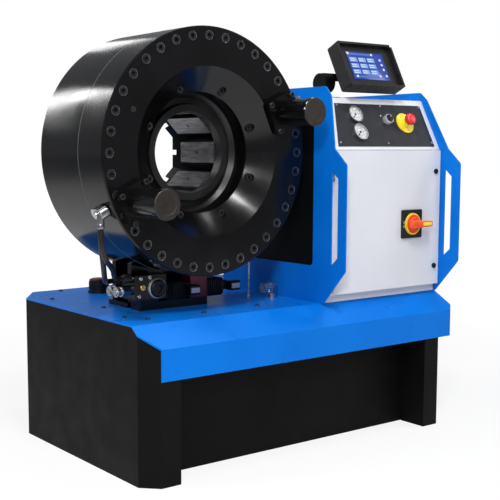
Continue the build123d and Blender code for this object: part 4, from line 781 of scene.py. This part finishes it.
dress(keys, screen_white, "display")
print("screen tiles:", len(tile_places))

# %% [markdown]
# ## Manifold
# Under the head sits the manifold. Its front carries a cartridge valve in a chromed ring, a slotted
# brass screw and three plugs, and each hose's union is locked by two narrow rings. All of them are
# turned, because they screw in.

# %% Manifold
manifold_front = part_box("valve_manifold")[0].y


def on_manifold(x, z):
    """A place on the manifold's front."""
    return Vector((x, manifold_front, z))


ring_place = on_manifold(-0.425, 0.551)
ring_profile = [(28.5, 0), (34, 0), (34, 5), (32.5, 8), (30, 9), (28.5, 8), (28.5, 0)]
cartridge_ring = turned("cartridge_ring", ring_profile, 64)
settle(cartridge_ring, ring_place, FRONT, UP)
dress(cartridge_ring, chrome)
cartridge_profile = [(28, 0), (28, 14), (25, 17), (14, 17), (13, 16), (13, 10)]
cartridge = turned("cartridge_cap", cartridge_profile, 48)
settle(cartridge, ring_place, FRONT, UP)
dress(cartridge, black_plastic)
BRASS_HEIGHT, SLOT_SLANT = 0.0046, Vector((0.4, 0, 0.9)).normalized()
brass_place = on_manifold(-0.478, 0.556)
brass_screw = turned("brass_screw", [(9.5, 0), (9.5, 3.4), (8.4, 4.4), (5, 4.6)], 32)
settle(brass_screw, brass_place, FRONT, UP)
dress(brass_screw, brass)
# a thin dark block on the brass head: painted shade that stands in for the slot's groove
slot_shade = block("brass_screw_slot_shade", (13, 1.8, 0.6), 0.2, 1)
settle(slot_shade, brass_place + FRONT * BRASS_HEIGHT, FRONT, SLOT_SLANT)
dress(slot_shade, screw_black)
MANIFOLD_PLUGS = [(-0.485, 0.585), (-0.452, 0.588), (-0.492, 0.528)]
block_plugs = spread(turned("manifold_plugs", [(6.5, 0), (6.5, 3), (5.6, 3.8), (3.4, 3.8), (3.2, 1.5)], 24),
                     [(on_manifold(x, z), FRONT, UP) for x, z in MANIFOLD_PLUGS])
dress(block_plugs, zinc)
UNION_X, UNION_Z = -0.571, 0.547
UNION_LINES, RING_STEPS = (-0.143, -0.105), (0.004, 0.022)
lock_section = [(12.2, 0), (16.2, 0), (16.2, 3), (14.8, 4.4), (12.2, 4.4), (12.2, 0)]
lock_spots = [(Vector((UNION_X + step, y, UNION_Z)), ACROSS, UP) for y in UNION_LINES for step in RING_STEPS]
lock_rings = spread(turned("union_rings", lock_section, 48), lock_spots)
dress(lock_rings, chrome)

# %% [markdown]
# ## Drain pipe
# A thin bright pipe stands between the tray and the head, as a leak-oil line does. It has a nut at each
# end, and its length is the gap between the tray and the round underside of the head at that place.

# %% Drain pipe between the head and the tray
PIPE_X, PIPE_Y = 0.003, -0.100
PIPE_RADIUS, NUT_RADIUS = 3, 6
tray_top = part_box("tray_cover")[1].z
pipe_length = (HEAD_Z - math.sqrt(HEAD_RADIUS ** 2 - (PIPE_X - HEAD_X) ** 2) - tray_top) * 1000
pipe_profile = [(NUT_RADIUS, 0), (NUT_RADIUS, 9), (PIPE_RADIUS, 10), (PIPE_RADIUS, pipe_length - 9),
                (NUT_RADIUS, pipe_length - 8), (NUT_RADIUS, pipe_length + 2)]
drain_pipe = turned("drain_pipe", pipe_profile, 24)
settle(drain_pipe, Vector((PIPE_X, PIPE_Y, tray_top)))
dress(drain_pipe, chrome)

# %% [markdown]
# ## Coils
# A solenoid with cooling ribs stands on each side of the red valve. Every rib is a thin rounded block
# round the coil. The cable plugs stand in front of the coils, and a blank white plate marks each one.

# %% Coils and their plugs
coil_low, coil_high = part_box("solenoids")
COIL_Y = (coil_low.y + coil_high.y) / 2
COIL_Z = (coil_low.z + coil_high.z) / 2
RIB_STEP, RIB_PROUD = 0.0085, 6
RIB_ROWS = [(-0.376, 9), (-0.209, 7)]
rib_width = (coil_high.z - coil_low.z) * 1000 + RIB_PROUD
rib_spots = []
for first, count in RIB_ROWS:
    for k in range(count):
        rib_spots.append((Vector((first + RIB_STEP * k, COIL_Y, COIL_Z)), ACROSS, UP))
coil_ribs = spread(block("coil_ribs", (rib_width, rib_width, 3.4), 1.2), rib_spots)
dress(coil_ribs, black_plastic)
PLUG_Z, PLATE_HEIGHT = 0.534, 0.0152
COIL_PLUGS = [(-0.283, -0.013), (-0.103, 0.004)]
plug_places = [Vector((x, coil_low.y + back, PLUG_Z)) for x, back in COIL_PLUGS]
cable_plugs = spread(block("coil_plugs", (42, 32, 30), 3, 3), [(place, FRONT, UP) for place in plug_places])
dress(cable_plugs, black_plastic)
plate_spots = [(place + FRONT * PLATE_HEIGHT, FRONT, UP) for place in plug_places]
name_plates = spread(block("blank_plates", (34, 17, 0.8), 0.3), plate_spots)
dress(name_plates, dial_white)
print("ribs:", len(rib_spots))

# %% [markdown]
# ## Tray screws, breather and rear panel
# Button-headed screws hold the tray down. The breather on the tank has a red lid and a ribbed edge for
# the hand, and small screws hold the cabinet's rear panel.

# %% Screws of the tray, breather cap and rear panel
button_screw = [(8, 0), (8, 1.5), (6.8, 3.4), (5.2, 4.2), (3.6, 4.3), (3.4, 2)]
TRAY_SCREWS = [(-0.587, -0.227), (-0.550, -0.301), (-0.334, -0.296), (-0.108, -0.284), (-0.538, -0.018),
               (-0.463, 0.418), (0.02, 0.418), (0.50, 0.418), (-0.587, 0.25), (0.622, 0.25)]
tray_screws = spread(turned("tray_screws", button_screw, 24),
                     [(Vector((x, y, tray_top)), UP, ACROSS) for x, y in TRAY_SCREWS])
dress(tray_screws, screw_black)
cap_low, cap_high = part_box("filler_breather")
cap_middle = Vector(((cap_low.x + cap_high.x) / 2, (cap_low.y + cap_high.y) / 2, cap_high.z))
lid_profile = [(27, -0.5), (27, 0.8), (25.5, 1.8), (12, 2.2), (11, 1.6), (4, 1.6)]
breather_top = turned("breather_top", lid_profile, 48)
settle(breather_top, cap_middle)
dress(breather_top, valve_red)
GRIP_COUNT, GRIP_DROP, GRIP_CIRCLE = 24, 0.022, 0.0352
grip_spots = []
for k in range(GRIP_COUNT):
    angle = math.radians(360 / GRIP_COUNT * k)
    ray = Vector((math.cos(angle), math.sin(angle), 0))
    grip_spots.append((cap_middle - UP * GRIP_DROP + ray * GRIP_CIRCLE, ray, UP))
grips = spread(block("breather_grips", (3.4, 26, 2.4), 1), grip_spots)
dress(grips, black_plastic)
SIDE_MARGIN, END_MARGIN = 0.018, 0.03
panel_low, panel_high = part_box("cabinet_rear_panel")
rear_spots = []
for x in (panel_low.x + SIDE_MARGIN, (panel_low.x + panel_high.x) / 2, panel_high.x - SIDE_MARGIN):
    for z in (panel_low.z + END_MARGIN, panel_high.z - END_MARGIN):
        rear_spots.append((Vector((x, panel_high.y, z)), -FRONT, UP))
rear_screws = spread(turned("rear_panel_screws", small_screw, 20), rear_spots)
dress(rear_screws, screw_black)
print("small screws:", len(TRAY_SCREWS) + len(rear_spots))

# %% [markdown]
# ## Floor and world
# A pale floor and a white world stand for a studio. The camera sees both of them nearly white, and the
# floor's own glow grows with the distance, so it keeps the machine's shadow and still has no horizon.
# The machine itself is lit by a dimmer, bluish world. Its mirrored rays take in only a small share of
# the white, so that the gloss black head stays black.

# %% Floor and world
FLOOR_GLOW = 1.04
NEAR_REACH, FAR_REACH = 1.2, 3.2
NEAR_SHARE, FAR_SHARE = 0.74, 1.0
DIM_WORLD = 0.28
MIRRORED_SHARE = 0.06
bpy.ops.object.select_all(action="DESELECT")
bpy.ops.mesh.primitive_plane_add(size=60)
floor = bpy.context.object
floor.name = "floor"
floor_paint = bpy.data.materials.new("floor")
floor_paint.use_nodes = True
floor_tree = floor_paint.node_tree
floor_shader = floor_tree.nodes["Principled BSDF"]
floor_shader.inputs["Base Color"].default_value = (0.86, 0.86, 0.87, 1)
floor_shader.inputs["Roughness"].default_value = 0.6
glow = floor_tree.nodes.new("ShaderNodeEmission")
glow.inputs["Strength"].default_value = FLOOR_GLOW
rays = floor_tree.nodes.new("ShaderNodeLightPath")
seen = floor_tree.nodes.new("ShaderNodeMath")
seen.operation = "MULTIPLY"
floor_tree.links.new(rays.outputs["Is Camera Ray"], seen.inputs[0])
spot = floor_tree.nodes.new("ShaderNodeTexCoord")
reach = floor_tree.nodes.new("ShaderNodeVectorMath")
reach.operation = "LENGTH"
floor_tree.links.new(spot.outputs["Object"], reach.inputs[0])
far = floor_tree.nodes.new("ShaderNodeMapRange")
far.inputs["From Min"].default_value = NEAR_REACH
far.inputs["From Max"].default_value = FAR_REACH
far.inputs["To Min"].default_value = NEAR_SHARE
far.inputs["To Max"].default_value = FAR_SHARE
floor_tree.links.new(reach.outputs["Value"], far.inputs["Value"])
floor_tree.links.new(far.outputs["Result"], seen.inputs[1])
blend = floor_tree.nodes.new("ShaderNodeMixShader")
floor_tree.links.new(seen.outputs["Value"], blend.inputs["Fac"])
floor_tree.links.new(floor_shader.outputs["BSDF"], blend.inputs[1])
floor_tree.links.new(glow.outputs["Emission"], blend.inputs[2])
floor_tree.links.new(blend.outputs["Shader"], floor_tree.nodes["Material Output"].inputs["Surface"])
floor.data.materials.append(floor_paint)

world = bpy.data.worlds.new("studio")
bpy.context.scene.world = world
world.use_nodes = True
sky = world.node_tree
background = sky.nodes["Background"]
background.inputs["Color"].default_value = (0.62, 0.64, 0.68, 1)
background.inputs["Strength"].default_value = DIM_WORLD
white = sky.nodes.new("ShaderNodeBackground")
white.inputs["Color"].default_value = (1, 1, 1, 1)
white.inputs["Strength"].default_value = 1.0
world_rays = sky.nodes.new("ShaderNodeLightPath")
plain_view = sky.nodes.new("ShaderNodeMath")
plain_view.operation = "MAXIMUM"
sky.links.new(world_rays.outputs["Is Camera Ray"], plain_view.inputs[0])
sky.links.new(world_rays.outputs["Is Transmission Ray"], plain_view.inputs[1])
mirrored = sky.nodes.new("ShaderNodeMath")
mirrored.operation = "MULTIPLY_ADD"
mirrored.inputs[1].default_value = MIRRORED_SHARE
sky.links.new(world_rays.outputs["Is Glossy Ray"], mirrored.inputs[0])
sky.links.new(plain_view.outputs["Value"], mirrored.inputs[2])
either = sky.nodes.new("ShaderNodeMixShader")
sky.links.new(mirrored.outputs["Value"], either.inputs["Fac"])
sky.links.new(background.outputs["Background"], either.inputs[1])
sky.links.new(white.outputs["Background"], either.inputs[2])
sky.links.new(either.outputs["Shader"], sky.nodes["World Output"].inputs["Surface"])
bpy.context.scene.view_settings.view_transform = "Standard"

# %% [markdown]
# ## Lamps
# The key lamp, in front and on the left, is the smallest, so its shadows are the firmest. The others
# fill from above and from both sides. Two more stand behind the machine, where the drum mirrors them as
# bright bands.

# %% Lamps
MACHINE_MIDDLE = Vector((HEAD_X + 0.2, 0, 0.7))


def soft_box(name, direction, distance, width, height, power):
    """An area lamp that faces the machine from a direction and doesn't show itself to the camera."""
    lamp = bpy.data.lights.new(name, "AREA")
    lamp.shape = "RECTANGLE"
    lamp.size = width
    lamp.size_y = height
    lamp.energy = power
    box = bpy.data.objects.new(name, lamp)
    bpy.context.scene.collection.objects.link(box)
    towards = Vector(direction).normalized()
    box.location = MACHINE_MIDDLE + towards * distance
    box.rotation_euler = (-towards).to_track_quat("-Z", "Y").to_euler()
    box.visible_camera = False


soft_box("key_lamp", (-0.58, -0.70, 0.42), 4.0, 0.45, 0.45, 58)
soft_box("left_high_lamp", (-0.60, 0.25, 0.80), 4.0, 1.5, 1.5, 56)
soft_box("top_lamp", (-0.23, -0.57, 0.79), 3.6, 0.7, 0.7, 74)
soft_box("high_right_lamp", (0.41, -0.27, 0.87), 3.6, 0.5, 0.5, 30)
soft_box("right_lamp", (0.80, -0.50, 0.35), 4.0, 1.2, 2.0, 22)
soft_box("rear_left_band", (-0.39, 0.83, 0.40), 4.0, 0.3, 1.4, 20)
soft_box("rear_top_band", (0.24, 0.83, 0.50), 4.0, 0.6, 0.6, 3)

# %% The last update
bpy.context.view_layer.update()
